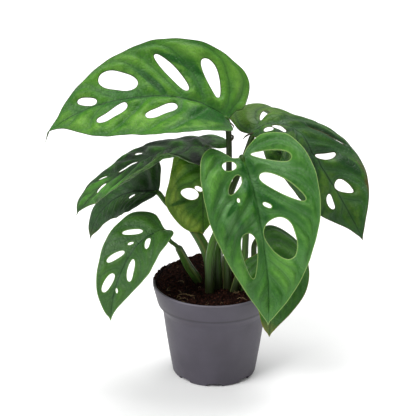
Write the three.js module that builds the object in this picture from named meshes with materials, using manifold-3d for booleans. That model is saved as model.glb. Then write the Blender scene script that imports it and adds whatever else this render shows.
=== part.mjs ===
// Potted Swiss cheese vine (Monstera adansonii): eight holed leaves on sheathed petioles,
// rooted in peat soil in a tapered plastic nursery pot.
// Millimetres, +Z up. The origin is the middle of the pot's foot, on the ground.
import * as THREE from "three";
import { mergeVertices } from "three/addons/utils/BufferGeometryUtils.js";
import Module from "manifold-3d";

const wasm = await Module();
wasm.setup();

// ---------------------------------------------------------------- driving dimensions

const GAP = 0.3; // clearance kept between pieces that touch

const POT = {
  height: 96,
  rimRadius: 60, // outer edge of the rim
  lipWidth: 2.4,
  lipRound: 0.8,
  bandFootRadius: 55.6, // lower edge of the flared band below the rim
  bandFootHeight: 75,
  wallTopRadius: 50.5, // the wall starts here, tucked in under the band
  wallTopHeight: 67,
  footRadius: 41.5,
  footCorner: 2.6,
  wall: 1.6,
  footRingInner: 33,
  padRadius: 14, // flat pad in the middle of the underside
  grooveHeight: 3, // raised ring of the underside between the pad and the foot ring
  floorTop: 4.6,
  turnSegments: 56,
};

const DRAIN = {
  count: 8,
  slotWidth: 13,
  slotHeight: 3.4,
  slotMid: 37, // radius of the middle of each slot through the foot ring
  slotLength: 12,
  holeRadius: 3.5,
  holeMid: 23.5,
};

const SOIL = {
  level: 90.5,
  dish: 2.5, // rise from the middle to the wall
  heap: { height: 6, x: -14, y: 46, spread: 20 }, // heaped against the back of the rim
  lump: 0.7,
  lumpPitch: 11,
  rings: 5,
  turnSegments: 36,
};

const BLADE = {
  thickness: 0.8,
  cell: 12.4, // side of the squares that a blade is divided into
  curlHalf: 50, // curl is the turn across this width of blade
  ribSteps: 60,
  curvePoints: 4,
  holePoints: 12,
};

const PETIOLE = {
  sides: 8,
  rings: 18,
  reach: 1, // how far under the blade it ends, from the blade's base
};

const COLOURS = {
  pot: 0x58545c,
  soil: 0x2a1d17,
  leaf: 0x4f8f35,
  leafDark: 0x3c7430,
  leafYoung: 0x7f9a3a,
  petiole: 0x55803a,
};

// Each leaf is laid out flat first: x runs along the midrib from the petiole to the tip and
// y to the leaf's left. `left` and `right` are the points of the two half outlines between
// the petiole and the tip, with the distance from the midrib as second number. `holes` are
// [x, y, length, width, turn in degrees]. The flat leaf is then bent: `heading`, `pitch`
// and `roll` turn the midrib at even steps from base to tip, `fold` lifts each half from
// the midrib and `curl` turns its margin down. `petiole` is its route from the root up.
const LEAVES = {
  leaf_top: {
    colour: COLOURS.leaf,
    base: [13, 0, 260],
    length: 184,
    heading: [188, 183, 180, 174],
    pitch: [44, 5, -16, -42],
    roll: [-21, -35, -44, -46],
    fold: { left: [13, 4, -1], right: [18, 8, 0] },
    curl: { left: -17, right: -14 },
    left: [[-2, 9], [-3, 20], [4, 37], [24, 57], [59, 58], [98, 46], [138, 32], [168, 7]],
    right: [[-3, 13], [-9, 25], [-1, 49], [24, 58], [59, 58], [97, 47], [137, 27.5], [167, 8.5]],
    holes: [[137, -7, 18.5, 8, -23], [106, -18.5, 35, 18, -21], [59.5, -24.5, 43, 9.6, -48],
      [27, -29.5, 36, 12, -57], [116.5, 12, 33, 12.5, 19], [68.7, 18, 33, 14.5, 25]],
    petiole: {
      route: [[12.8, -10, 74], [13, -10, 92], [12.8, -3, 140], [13.7, 5, 195], [13.7, 5, 235]],
      foot: 4.0, top: 2.9, sheathEnd: 0.4,
    },
  },
  leaf_front: {
    colour: COLOURS.leaf,
    base: [25, -36, 235],
    length: 160,
    heading: [-61, -66, -64, -73],
    pitch: [-38, -64, -75, -98],
    roll: [7, 4, 11, 21],
    fold: { left: [24, 21, 17], right: [19, 17, 13] },
    curl: { left: -14, right: 0 },
    left: [[-8, 10], [-12, 27], [1, 47], [21, 57], [51, 58], [85, 48], [119, 29], [146, 9]],
    right: [[0, 11], [-4, 16], [-10, 23], [-12, 32], [0, 47], [21, 56], [51, 57], [85, 45],
      [119, 26], [146, 9]],
    holes: [[9, 25, 37, 8, 64], [36.5, 26.5, 45.5, 11.5, 51], [49, 9, 8.5, 3.6, 55],
      [80.5, 17.2, 38.5, 26, 20], [91.5, -16, 41, 15.5, 3], [41, -20.3, 4, 3, -15],
      [26.7, -19.5, 24.5, 8.8, -49], [8.5, -19, 16.5, 9, -80]],
    petiole: {
      route: [[19.5, -15, 74], [19.5, -16, 92], [28.2, -14, 122], [29.6, -15, 142], [29.8, -19, 170],
        [28.5, -26, 205]],
      foot: 3.7, top: 3.2, sheathEnd: 0.35,
    },
  },
  leaf_right: {
    colour: COLOURS.leafDark,
    base: [35.4, 21.3, 238],
    length: 171,
    heading: [20, -12, -27, -40],
    pitch: [49, -48, -54, -55],
    roll: [6, 7, 40, 81],
    fold: { left: [31, 20.5, 10.5, 18, 18.5, 13, 8, 3, -1], right: [3, -5, 9] },
    curl: { left: 46, right: 17 },
    left: [[-4, 12], [-2, 26], [2, 48], [19, 66], [54, 70], [90, 54], [128, 32], [157, 11]],
    right: [[0, 6], [1, 14], [-4, 28], [-10, 43], [-6, 58], [14, 67], [43, 65], [85, 43],
      [129, 27], [157, 8]],
    holes: [[19.3, 16.2, 20, 4.4, 63], [71.5, 31.5, 38, 1.8, 33], [84, 11.5, 24, 6, 66],
      [119.5, 8.3, 19.5, 10, 33], [17, -12, 11, 8, 0], [30, -10, 17, 8.5, -30],
      [125, -9.7, 15.5, 6, -11]],
    petiole: {
      route: [[-4.5, -18, 74], [-4.5, -18, 92], [-4.5, -15, 124], [0.3, -13, 148], [14.5, -6, 186],
        [28.5, 9, 219]],
      foot: 4.6, top: 2.9, sheathEnd: 0.4,
    },
  },
  leaf_left: {
    colour: COLOURS.leafDark,
    base: [-5, 2, 232],
    length: 155,
    heading: [156, 180, 176, 179],
    pitch: [6, -24, -37, -58],
    roll: [-4, -8, -15, -31],
    fold: { left: [-25, -11, -12, -9, -7], right: [-4, -8, -3, 1, 5] },
    curl: { left: -60, right: 14 },
    left: [[-12, 7], [-15, 24], [-4, 47], [19, 49], [50, 48], [83, 44], [115, 25], [140, 6]],
    right: [[-9, 5], [-13, 19], [-3, 36], [20, 46], [50, 49], [84, 43], [115, 23.5], [145, 12.5]],
    holes: [[72.7, -22.2, 9.5, 4.8, -45], [84, -2.2, 21, 3.2, 2], [113.7, -11.8, 10, 1.8, -16],
      [117, 2.2, 13.5, 3, 5]],
    petiole: {
      route: [[3.2, -7, 74], [3.2, -7, 92], [3, -4, 125], [2.5, 2, 163], [0, 4, 205]],
      foot: 5.2, top: 2.1, sheathEnd: 0.36,
    },
  },
  leaf_left_back: {
    colour: COLOURS.leafDark,
    base: [-55, 38, 173],
    length: 100,
    heading: [143, 164, 187, 213],
    pitch: [-2, -19, -49, -79],
    roll: [-35, -27, -19, -21],
    fold: { left: [35, 7, -17], right: [40, 9, -16] },
    curl: { left: 35, right: 14 },
    left: [[-3, 6], [-4, 14], [1, 26], [13, 32], [32, 32], [53, 26], [74, 15], [91, 6]],
    right: [[-1, 7], [0, 16], [2, 26], [10, 33], [27, 28], [46, 22], [68, 18], [91, 6]],
    holes: [[27, 9.5, 8, 3, 54]],
    petiole: {
      route: [[-2.5, 9, 74], [-3, 9, 92], [-6.5, 15, 116], [-20, 26, 138], [-34, 34, 150],
        [-47, 40, 161]],
      foot: 6.2, top: 2.7, sheathEnd: 0.62,
    },
  },
  leaf_low: {
    colour: COLOURS.leafDark,
    base: [-47, -22, 158],
    length: 108,
    heading: [205, 211, 218, 226],
    pitch: [2, -45, -67, -86],
    roll: [-4, -20, -35, -49],
    fold: { left: [17, 11, 9], right: [16, 12, 13] },
    curl: { left: 15, right: 13 },
    left: [[-3, 5], [-3, 13], [2, 24], [14, 31], [35, 32], [57, 26], [80, 15], [98, 4.5]],
    right: [[0, 8], [-0.5, 13], [1, 25], [14, 34], [34, 31], [57, 25], [81.5, 17], [100, 7]],
    holes: [[25, -14, 18, 5.4, -45], [33.8, -6, 5.6, 2.4, -34], [50.4, -11.4, 18.5, 5.6, -36],
      [74, -8, 18.5, 7.2, -14], [23.6, 9.4, 13.5, 5.8, 47], [55, 9, 22, 7, 14], [79, 2, 5, 2, 15]],
    petiole: {
      route: [[-14.5, 7, 74], [-16, 5, 92], [-25.5, -2, 112], [-34.5, -12, 135], [-42, -18, 145]],
      foot: 5.0, top: 2.0, sheathEnd: 0.66,
    },
  },
  leaf_centre: {
    colour: COLOURS.leafYoung,
    base: [-11, 32, 214],
    length: 78,
    heading: [-90, -90, -86, -82],
    pitch: [-60, -80, -86, -88],
    roll: [0, 2, 4, 6],
    fold: { left: [-15, -15, -10], right: [0, 2, 4] },
    curl: { left: 0, right: 25 },
    left: [[-3, 4], [-3, 9], [2, 13], [14, 16], [30, 17], [46, 16], [61, 12], [72, 6]],
    right: [[-3, 6], [-4, 14], [-1, 27], [11, 30.5], [27, 33.5], [46, 37.5], [61, 30.5], [75, 16]],
    holes: [[38.2, -12.9, 17.5, 8.8, 79], [33, -4, 8.2, 4.2, 65]],
    petiole: {
      route: [[7, 12, 74], [7, 12, 92], [5, 21, 130], [1, 32, 170], [-5, 39, 198]],
      foot: 3.2, top: 1.9, sheathEnd: 0.4,
    },
  },
  leaf_under: {
    colour: COLOURS.leafDark,
    base: [44, -20, 152],
    length: 102,
    heading: [-57, -79, -105, -116],
    pitch: [-21, -49, -66, -86],
    roll: [17, 1, -11, -28],
    fold: { left: [-10, 1, 10], right: [-13, 1, 15] },
    curl: { left: 38, right: 27 },
    left: [[-7, 5], [-9, 17], [0, 27], [14, 37], [33, 39], [56, 32], [77, 19], [94, 6]],
    right: [[8, 3], [16, 8], [20, 15], [21, 22], [28, 29], [40, 31], [56, 26], [75, 14], [93, 7]],
    holes: [],
    petiole: {
      route: [[27.5, -12, 74], [27.5, -13, 92], [34.5, -12, 108], [37.7, -12, 124], [38.3, -13, 139]],
      foot: 3.4, top: 2.8, sheathEnd: 0.4,
    },
  },
};

// ---------------------------------------------------------------- solids and booleans

const radians = THREE.MathUtils.degToRad;
const lerp = THREE.MathUtils.lerp;

/** A closed geometry's bare triangles, with shared corners and faces turned outwards. */
function welded(geometry) {
  const bare = geometry.clone();
  bare.deleteAttribute("normal");
  bare.deleteAttribute("uv");
  return mergeVertices(bare, 1e-4);
}

/** The manifold-3d solid of a closed geometry, turned right side out where it is not. */
function solidOf(geometry) {
  const mesh = welded(geometry);
  const vertProperties = Float32Array.from(mesh.getAttribute("position").array);
  const triVerts = Uint32Array.from(mesh.getIndex().array);
  const build = () => new wasm.Manifold(new wasm.Mesh({ numProp: 3, vertProperties, triVerts }));
  const solid = build();
  if (solid.volume() > 0) return solid;
  triVerts.reverse();
  return build();
}

/** The three.js geometry of a manifold-3d solid. */
function geometryOf(solid) {
  const { vertProperties, triVerts } = solid.getMesh();
  const geometry = new THREE.BufferGeometry();
  geometry.setAttribute("position", new THREE.BufferAttribute(vertProperties, 3));
  geometry.setIndex(new THREE.BufferAttribute(triVerts, 1));
  return geometry;
}

/** A solid turned about Z from [radius, height] points that start and end on the axis. */
function turned(profile, segments) {
  const points = profile.map(([radius, height]) => new THREE.Vector2(radius, height));
  return new THREE.LatheGeometry(points, segments).rotateX(Math.PI / 2);
}

/** A named mesh with shading normals. */
function meshOf(name, geometry, colour, roughness) {
  geometry.computeVertexNormals();
  const material = new THREE.MeshStandardMaterial({ color: colour, roughness, metalness: 0 });
  const mesh = new THREE.Mesh(geometry, material);
  mesh.name = name;
  return mesh;
}

// ---------------------------------------------------------------- pot

/** Radius of the pot's inner face at a height, on the wall, the tuck or the band. */
function potInnerRadius(height) {
  const stations = [
    [POT.footCorner, POT.footRadius - POT.wall],
    [POT.wallTopHeight, POT.wallTopRadius - POT.wall],
    [POT.bandFootHeight, POT.bandFootRadius - POT.wall],
    [POT.height - POT.lipRound, POT.rimRadius - POT.lipWidth],
  ];
  const after = Math.max(stations.findIndex(([level]) => level >= height), 1);
  const [low, high] = [stations[after - 1], stations[after]];
  return lerp(low[1], high[1], (height - low[0]) / (high[0] - low[0]));
}

/** The pot: tapered wall, flared band, rounded lip, pad and slotted foot ring. */
function potSolid() {
  const corner = POT.footRadius - POT.footCorner;
  const lipInner = POT.rimRadius - POT.lipWidth;
  const profile = [
    [0, 0],
    [POT.padRadius, 0],
    [POT.padRadius + POT.grooveHeight * 0.7, POT.grooveHeight],
    [POT.footRingInner - POT.grooveHeight * 0.5, POT.grooveHeight],
    [POT.footRingInner, 0],
    [corner, 0],
    [corner + POT.footCorner * 0.7, POT.footCorner * 0.3],
    [POT.footRadius, POT.footCorner],
    [POT.wallTopRadius, POT.wallTopHeight],
    [POT.bandFootRadius, POT.bandFootHeight],
    [POT.rimRadius, POT.height - 2 * POT.lipRound],
    [POT.rimRadius, POT.height - POT.lipRound],
    [POT.rimRadius - POT.lipRound, POT.height],
    [lipInner + POT.lipRound, POT.height],
    [lipInner, POT.height - POT.lipRound],
    [potInnerRadius(POT.bandFootHeight), POT.bandFootHeight],
    [potInnerRadius(POT.wallTopHeight), POT.wallTopHeight],
    [potInnerRadius(POT.floorTop), POT.floorTop],
    [0, POT.floorTop],
  ];
  let pot = solidOf(turned(profile, POT.turnSegments));
  for (let i = 0; i < DRAIN.count; i += 1) {
    const turn = (i / DRAIN.count) * 2 * Math.PI - Math.PI / 2;
    const slot = new THREE.BoxGeometry(DRAIN.slotLength, DRAIN.slotWidth, 2 * DRAIN.slotHeight);
    slot.translate(DRAIN.slotMid, 0, 0).rotateZ(turn);
    const hole = new THREE.CylinderGeometry(DRAIN.holeRadius, DRAIN.holeRadius, 2 * POT.floorTop, 12);
    hole.rotateX(Math.PI / 2).translate(DRAIN.holeMid, 0, POT.floorTop).rotateZ(turn);
    pot = pot.subtract(solidOf(slot)).subtract(solidOf(hole));
  }
  return geometryOf(pot);
}

// ---------------------------------------------------------------- petioles

/** Where a petiole ends: its rim just clear of the underside of its blade's base. */
function petioleEnd(leaf, blade) {
  const { route, top } = leaf.petiole;
  const toward = blade.point(0, 0, 0).sub(new THREE.Vector3(...route.at(-1))).normalize();
  const slant = Math.sqrt(1 - toward.dot(blade.stations[0].up) ** 2);
  const droop = Math.max(0, Math.sin(-radians(Math.min(leaf.fold.left[0], leaf.fold.right[0]))));
  const drop = BLADE.thickness / 2 + 1.5 * GAP + top * (slant + droop);
  return blade.point(PETIOLE.reach, 0, -drop);
}

/** The round petiole of a leaf, with its wider sheath, swollen by `extra` on every side. */
function petioleGeometry(leaf, blade, extra = 0) {
  const { route, foot, top, sheathEnd } = leaf.petiole;
  const points = [...route.map((p) => new THREE.Vector3(...p)), petioleEnd(leaf, blade)];
  const curve = new THREE.CatmullRomCurve3(points, false, "catmullrom", 0.5);
  const frames = curve.computeFrenetFrames(PETIOLE.rings, false);
  const geometry = new THREE.CylinderGeometry(1, 1, 1, PETIOLE.sides, PETIOLE.rings);
  const position = geometry.getAttribute("position");
  for (let i = 0; i < position.count; i += 1) {
    const ring = Math.round((position.getY(i) + 0.5) * PETIOLE.rings);
    const t = ring / PETIOLE.rings;
    const radius = extra + (t < sheathEnd ? lerp(foot, top, (0.5 * t) / sheathEnd) : top);
    const centre = curve.getPointAt(t);
    if (ring === 0) centre.z -= extra;
    centre.addScaledVector(frames.normals[ring], position.getX(i) * radius);
    centre.addScaledVector(frames.binormals[ring], -position.getZ(i) * radius);
    position.setXYZ(i, centre.x, centre.y, centre.z);
  }
  return welded(geometry);
}

// ---------------------------------------------------------------- soil

/** Height of the soil's surface: dished to the wall, heaped at the back and lumpy. */
function soilHeight(x, y) {
  const { level, dish, heap, lump, lumpPitch } = SOIL;
  const away = (x - heap.x) ** 2 + (y - heap.y) ** 2;
  const rise = dish * ((x * x + y * y) / POT.rimRadius ** 2);
  const waves = Math.sin(x / lumpPitch + 1) * Math.sin(y / lumpPitch + 2);
  return level + rise + heap.height * Math.exp(-away / (2 * heap.spread ** 2)) + lump * waves;
}

/** The soil that fills the pot, with a plain hole around each petiole. */
function soilSolid(petioles) {
  const floor = POT.floorTop + GAP;
  const edge = SOIL.level + SOIL.dish;
  const inside = (height) => potInnerRadius(height) - GAP;
  const profile = [
    [0, floor],
    [inside(floor), floor],
    [inside(POT.wallTopHeight), POT.wallTopHeight],
    [inside(POT.bandFootHeight), POT.bandFootHeight],
    [inside(edge) - GAP, edge],
  ];
  for (let ring = SOIL.rings - 1; ring >= 0; ring -= 1) {
    profile.push([((inside(edge) - GAP) * ring) / SOIL.rings, edge]);
  }
  const geometry = turned(profile, SOIL.turnSegments);
  const position = geometry.getAttribute("position");
  for (let i = 0; i < position.count; i += 1) {
    const surface = soilHeight(position.getX(i), position.getY(i));
    if (position.getZ(i) > edge - GAP) position.setZ(i, surface);
  }
  const holes = petioles.map(solidOf);
  return geometryOf(holes.reduce((soil, hole) => soil.subtract(hole), solidOf(geometry)));
}

// ---------------------------------------------------------------- leaf blades

/** Value at t, from 0 to 1, of a smooth curve through evenly spaced stations. */
function along(stations, t) {
  const last = stations.length - 1;
  const before = 2 * stations[0] - stations[1];
  const after = 2 * stations[last] - stations[last - 1];
  const padded = [before, ...stations, after];
  const i = Math.min(Math.floor(t * last), last - 1);
  const f = t * last - i;
  const [a, b, c, d] = padded.slice(i, i + 4);
  const square = 2 * a - 5 * b + 4 * c - d;
  const cube = 3 * b - a - 3 * c + d;
  return 0.5 * (2 * b + (c - a) * f + square * f ** 2 + cube * f ** 3);
}

/** A bent leaf surface: maps a point of the flat leaf to its place on the plant. */
class Blade {
  constructor(leaf) {
    this.leaf = leaf;
    this.stations = [];
    const step = leaf.length / BLADE.ribSteps;
    const place = new THREE.Vector3(...leaf.base);
    for (let i = 0; i <= BLADE.ribSteps; i += 1) {
      const station = this.directions(i / BLADE.ribSteps);
      if (i > 0) {
        const previous = this.stations[i - 1].along;
        place.addScaledVector(previous.clone().add(station.along).normalize(), step);
      }
      this.stations.push({ ...station, place: place.clone() });
    }
  }

  /** Directions along the midrib, to the left and up out of the blade at t. */
  directions(t) {
    const heading = radians(along(this.leaf.heading, t));
    const pitch = radians(along(this.leaf.pitch, t));
    const roll = radians(along(this.leaf.roll, t));
    const level = Math.cos(pitch);
    const forward = new THREE.Vector3(
      level * Math.cos(heading), level * Math.sin(heading), Math.sin(pitch));
    const side = new THREE.Vector3(-Math.sin(heading), Math.cos(heading), 0);
    const up = forward.clone().cross(side);
    return {
      along: forward,
      side: side.clone().multiplyScalar(Math.cos(roll)).addScaledVector(up, Math.sin(roll)),
      up: up.multiplyScalar(Math.cos(roll)).addScaledVector(side, -Math.sin(roll)),
    };
  }

  /** The place of flat point (x, y), `lift` above the blade's middle surface. */
  point(x, y, lift) {
    const { length, fold, curl } = this.leaf;
    const t = THREE.MathUtils.clamp(x / length, 0, 1);
    const i = Math.min(Math.floor(t * BLADE.ribSteps), BLADE.ribSteps - 1);
    const f = t * BLADE.ribSteps - i;
    const [low, high] = [this.stations[i], this.stations[i + 1]];
    const mix = (key) => low[key].clone().lerp(high[key], f);
    const half = y >= 0 ? "left" : "right";
    const start = radians(along(fold[half], t));
    const bend = (radians(curl[half]) || 1e-6) / BLADE.curlHalf;
    const end = start - bend * Math.abs(y);
    const across = ((Math.sin(start) - Math.sin(end)) / bend) * Math.sign(y);
    const rise = (Math.cos(end) - Math.cos(start)) / bend;
    return mix("place")
      .addScaledVector(mix("along"), x - t * length)
      .addScaledVector(mix("side"), across)
      .addScaledVector(mix("up"), rise + lift);
  }

  /** The flat outline with its holes. */
  shape() {
    const { left, right, length, holes } = this.leaf;
    const tip = new THREE.Vector2(length, 0);
    const base = new THREE.Vector2(0, 0);
    const shape = new THREE.Shape();
    shape.moveTo(0, 0);
    shape.splineThru([...left.map(([x, y]) => new THREE.Vector2(x, y)), tip]);
    shape.splineThru([...right.map(([x, y]) => new THREE.Vector2(x, -y)).reverse(), base]);
    shape.holes = holes.map(([x, y, long, wide, turn]) => {
      const curve = new THREE.EllipseCurve(x, y, long / 2, wide / 2, 0, 2 * Math.PI, false, radians(turn));
      return new THREE.Path(curve.getPoints(BLADE.holePoints).slice(0, -1));
    });
    return shape;
  }

  /** The flat blade as points and triangles, divided by a square grid with a line at y = 0. */
  plan() {
    const { left, right, length } = this.leaf;
    const { cell } = BLADE;
    const reach = Math.max(...[...left, ...right].map(([, y]) => y)) + cell;
    const rows = 2 * Math.ceil(reach / cell);
    const columns = Math.ceil(length / cell) + 3;
    const slab = new THREE.BoxGeometry(columns * cell, rows * cell, 2, columns, rows, 1);
    slab.translate((columns / 2 - 1.6) * cell, 0, 0);
    const position = slab.getAttribute("position");
    for (let i = 0; i < position.count; i += 1) {
      // uneven heights keep every square's edges when the outline is cut out
      const bump = 0.3 * Math.sin(1.9 * position.getX(i)) * Math.cos(1.3 * position.getY(i) + 0.7);
      position.setZ(i, position.getZ(i) + bump);
    }
    const prism = new THREE.ExtrudeGeometry(this.shape(), {
      depth: 6, bevelEnabled: false, curveSegments: BLADE.curvePoints,
    }).translate(0, 0, -3);
    const cut = geometryOf(solidOf(slab).intersect(solidOf(prism)));
    return topOf(cut);
  }

  /** The closed blade, with the same triangles on its upper and lower faces. */
  geometry() {
    const { points, triangles } = this.plan();
    const half = BLADE.thickness / 2;
    const count = points.length;
    const corners = [half, -half].flatMap((lift) => points.map(([x, y]) => this.point(x, y, lift)));
    const faces = triangles.flatMap(([a, b, c]) => [[a, b, c], [c + count, b + count, a + count]]);
    for (const [a, b] of openEdges(triangles)) {
      faces.push([a, a + count, b + count], [a, b + count, b]);
    }
    const geometry = new THREE.BufferGeometry().setFromPoints(corners);
    geometry.setIndex(faces.flat());
    return geometry;
  }
}

/** The upward faces of a flat solid, as [x, y] points and corner triples. */
function topOf(geometry) {
  const position = geometry.getAttribute("position");
  const index = geometry.getIndex();
  const numbers = new Map();
  const points = [];
  const number = (corner) => {
    if (!numbers.has(corner)) {
      numbers.set(corner, points.length);
      points.push([position.getX(corner), position.getY(corner)]);
    }
    return numbers.get(corner);
  };
  const triangles = [];
  for (let i = 0; i < index.count; i += 3) {
    const corners = [index.getX(i), index.getX(i + 1), index.getX(i + 2)];
    const [a, b, c] = corners.map((corner) => new THREE.Vector3().fromBufferAttribute(position, corner));
    const normal = b.sub(a).cross(c.sub(a)).normalize();
    if (normal.z > 0.5) triangles.push(corners.map(number));
  }
  return { points, triangles };
}

/** The edges that only one triangle has, each in that triangle's direction. */
function openEdges(triangles) {
  const edges = new Map();
  for (const [a, b, c] of triangles) {
    for (const [from, to] of [[a, b], [b, c], [c, a]]) {
      if (!edges.delete(`${to},${from}`)) edges.set(`${from},${to}`, [from, to]);
    }
  }
  return [...edges.values()];
}

// ---------------------------------------------------------------- assembly

const plant = new THREE.Group();
plant.name = "potted_monstera_adansonii";

const blades = Object.fromEntries(
  Object.entries(LEAVES).map(([name, leaf]) => [name, new Blade(leaf)]));

plant.add(meshOf("nursery_pot", potSolid(), COLOURS.pot, 0.6));

const rootHoles = Object.entries(LEAVES).map(
  ([name, leaf]) => petioleGeometry(leaf, blades[name], GAP));
plant.add(meshOf("potting_soil", soilSolid(rootHoles), COLOURS.soil, 1));

for (const [name, leaf] of Object.entries(LEAVES)) {
  const stem = petioleGeometry(leaf, blades[name]);
  plant.add(meshOf(name.replace("leaf", "petiole"), stem, COLOURS.petiole, 0.5));
  plant.add(meshOf(name, blades[name].geometry(), leaf.colour, 0.45));
}

export default plant;
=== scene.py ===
"""Dresses a potted Swiss cheese vine: holed waxy blades, sheathed petioles, peat and a pot.

The tables give millimetres and degrees, as the solids are drawn; meshes are made in metres.
"""

import logging
import math
from dataclasses import dataclass
from enum import Enum
from typing import Any, Sequence

import bmesh
import bpy
import numpy as np
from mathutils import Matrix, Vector, geometry, noise


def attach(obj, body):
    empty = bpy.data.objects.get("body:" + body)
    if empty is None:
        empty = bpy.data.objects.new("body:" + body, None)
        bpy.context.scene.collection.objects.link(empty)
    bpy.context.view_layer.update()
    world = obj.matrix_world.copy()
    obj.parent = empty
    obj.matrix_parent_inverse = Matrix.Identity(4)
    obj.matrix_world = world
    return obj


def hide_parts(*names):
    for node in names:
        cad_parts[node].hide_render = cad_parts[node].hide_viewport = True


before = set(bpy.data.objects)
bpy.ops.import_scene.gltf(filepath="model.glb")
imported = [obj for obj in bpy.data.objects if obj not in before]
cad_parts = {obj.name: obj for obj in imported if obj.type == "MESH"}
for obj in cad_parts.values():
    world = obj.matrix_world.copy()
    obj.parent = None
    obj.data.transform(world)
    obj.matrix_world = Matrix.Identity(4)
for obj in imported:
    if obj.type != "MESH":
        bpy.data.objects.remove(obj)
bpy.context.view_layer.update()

LOG = logging.getLogger("potted_vine")
MM = 0.001
SEED = 9338
BODY = "root"
Points = np.ndarray
Colour = tuple[float, float, float, float]
Socket = bpy.types.NodeSocket


# ---------------------------------------------------------------- curves and distances


def along(stations: Sequence[float], t: Points) -> Points:
    """Reads a smooth curve through evenly spaced stations.

    Args:
        stations: Values at even steps from 0 to 1.
        t: Places between 0 and 1.

    Returns:
        The curve's value at each place.
    """
    values = np.asarray(stations, float)
    last = len(values) - 1
    padded = np.concatenate(([2 * values[0] - values[1]], values, [2 * values[-1] - values[-2]]))
    i = np.minimum((t * last).astype(int), last - 1)
    f = t * last - i
    a, b, c, d = (padded[i + k] for k in range(4))
    return 0.5 * (2 * b + (c - a) * f + (2 * a - 5 * b + 4 * c - d) * f**2 + (3 * b - a - 3 * c + d) * f**3)


def resampled(line: Points, step: float) -> Points:
    """Spaces points evenly along a line.

    Args:
        line: Points of the line, in order.
        step: Wanted spacing.

    Returns:
        Points from the line's first to its last, about a step apart.
    """
    lengths = np.concatenate(([0], np.cumsum(np.linalg.norm(np.diff(line, axis=0), axis=1))))
    count = max(int(round(lengths[-1] / step)), 2)
    wanted = np.linspace(0, lengths[-1], count + 1)
    return np.stack([np.interp(wanted, lengths, column) for column in line.T], 1)


def smooth_line(points: Points, step: float, stretch_ends: bool = False) -> Points:
    """Draws a smooth curve through points.

    Args:
        points: Points that the curve passes through.
        step: Spacing of the points returned.
        stretch_ends: True to leave the ends straight on instead of easing into them.

    Returns:
        Evenly spaced points of the curve.
    """
    points = np.asarray(points, float)
    before = 2 * points[0] - points[1] if stretch_ends else points[0]
    after = 2 * points[-1] - points[-2] if stretch_ends else points[-1]
    padded = np.vstack((before, points, after))
    f = np.linspace(0, 1, 16, endpoint=False)[:, None]
    pieces = []
    for a, b, c, d in zip(padded, padded[1:], padded[2:], padded[3:]):
        v0, v1 = (c - a) / 2, (d - b) / 2
        pieces.append((2 * b - 2 * c + v0 + v1) * f**3 + (-3 * b + 3 * c - 2 * v0 - v1) * f**2 + v0 * f + b)
    return resampled(np.vstack((*pieces, points[-1:])), step)


def directions(line: Points) -> Points:
    """Gives the way that a line runs at each of its points, as unit vectors."""
    ways = np.gradient(line, axis=0)
    return ways / np.linalg.norm(ways, axis=1)[:, None]


def full_turn(count: int) -> Points:
    """Gives that many evenly spaced angles, once round."""
    return np.linspace(0, 2 * np.pi, count, endpoint=False)


def bell(distance: Points, reach: float | Points) -> Points:
    """Gives 1 at no distance, falling away smoothly over the reach."""
    return np.exp(-((distance / reach) ** 2))


def inside(points: Points, polygon: Points) -> Points:
    """Says which flat points lie inside a closed outline.

    Args:
        points: Flat points.
        polygon: Corners of the outline, in order.

    Returns:
        True for each point inside.
    """
    x, y = points[:, :1], points[:, 1:]
    (ax, ay), (bx, by) = polygon.T, np.roll(polygon, -1, 0).T
    crosses = (ay > y) != (by > y)
    with np.errstate(divide="ignore", invalid="ignore"):
        left_of = x < (bx - ax) * (y - ay) / (by - ay) + ax
    return (crosses & left_of).sum(1) % 2 == 1


def nearest(points: Points, starts: Points, ends: Points, extra: Points | float = 0.0) -> Points:
    """Measures how far points are from the nearest of many short segments.

    Args:
        points: Flat points.
        starts: First ends of the segments.
        ends: Second ends of the segments.
        extra: A length added to the distance from each segment.

    Returns:
        The smallest distance for each point.
    """
    at_once, least_square = 500, 1e-12
    run = ends - starts
    square = np.maximum((run**2).sum(1), least_square)
    result = []
    for chunk in np.array_split(points, max(len(points) // at_once, 1)):
        away = chunk[:, None] - starts[None]
        f = np.clip((away * run).sum(2) / square, 0, 1)
        distance = np.linalg.norm(away - f[..., None] * run, axis=2)
        result.append((distance + extra).min(1))
    return np.concatenate(result)


# ---------------------------------------------------------------- meshes


def make_piece(name: str, vertices: Points, faces: list, replaces: str | None,
               materials: Sequence[bpy.types.Material], facets: Points | None = None) -> bpy.types.Object:
    """Makes a piece of the plant, in millimetres, and ties it to the frame.

    Args:
        name: Name of the piece.
        vertices: Corners in millimetres.
        faces: Corner numbers of each face.
        replaces: The solid that it stands for, if any.
        materials: Its materials, in the order of its face numbers.
        facets: Material number of each face, if it has more than one.

    Returns:
        The new object.
    """
    mesh = bpy.data.meshes.new(name)
    mesh.from_pydata(np.asarray(vertices, float) * MM, [], faces)
    mesh.validate()
    mesh.polygons.foreach_set("use_smooth", np.ones(len(mesh.polygons), bool))
    for material in materials:
        mesh.materials.append(material)
    if facets is not None:
        mesh.polygons.foreach_set("material_index", np.asarray(facets, np.int32))
    piece = bpy.data.objects.new(name, mesh)
    bpy.context.scene.collection.objects.link(piece)
    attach(piece, BODY)
    if replaces:
        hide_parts(replaces)
    LOG.info("%s: %d faces", name, len(mesh.polygons))
    return piece


def put_attribute(piece: bpy.types.Object, name: str, values: Points) -> None:
    """Stores a number or a vector for each corner of a piece, for its material to read.

    Args:
        piece: The piece.
        name: Name of the attribute.
        values: One row for each vertex.
    """
    vector = values.ndim == 2
    kind = "FLOAT_VECTOR" if vector else "FLOAT"
    made = piece.data.attributes.new(name, kind, "POINT")
    made.data.foreach_set("vector" if vector else "value", np.ascontiguousarray(values, np.float32).ravel())


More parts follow.
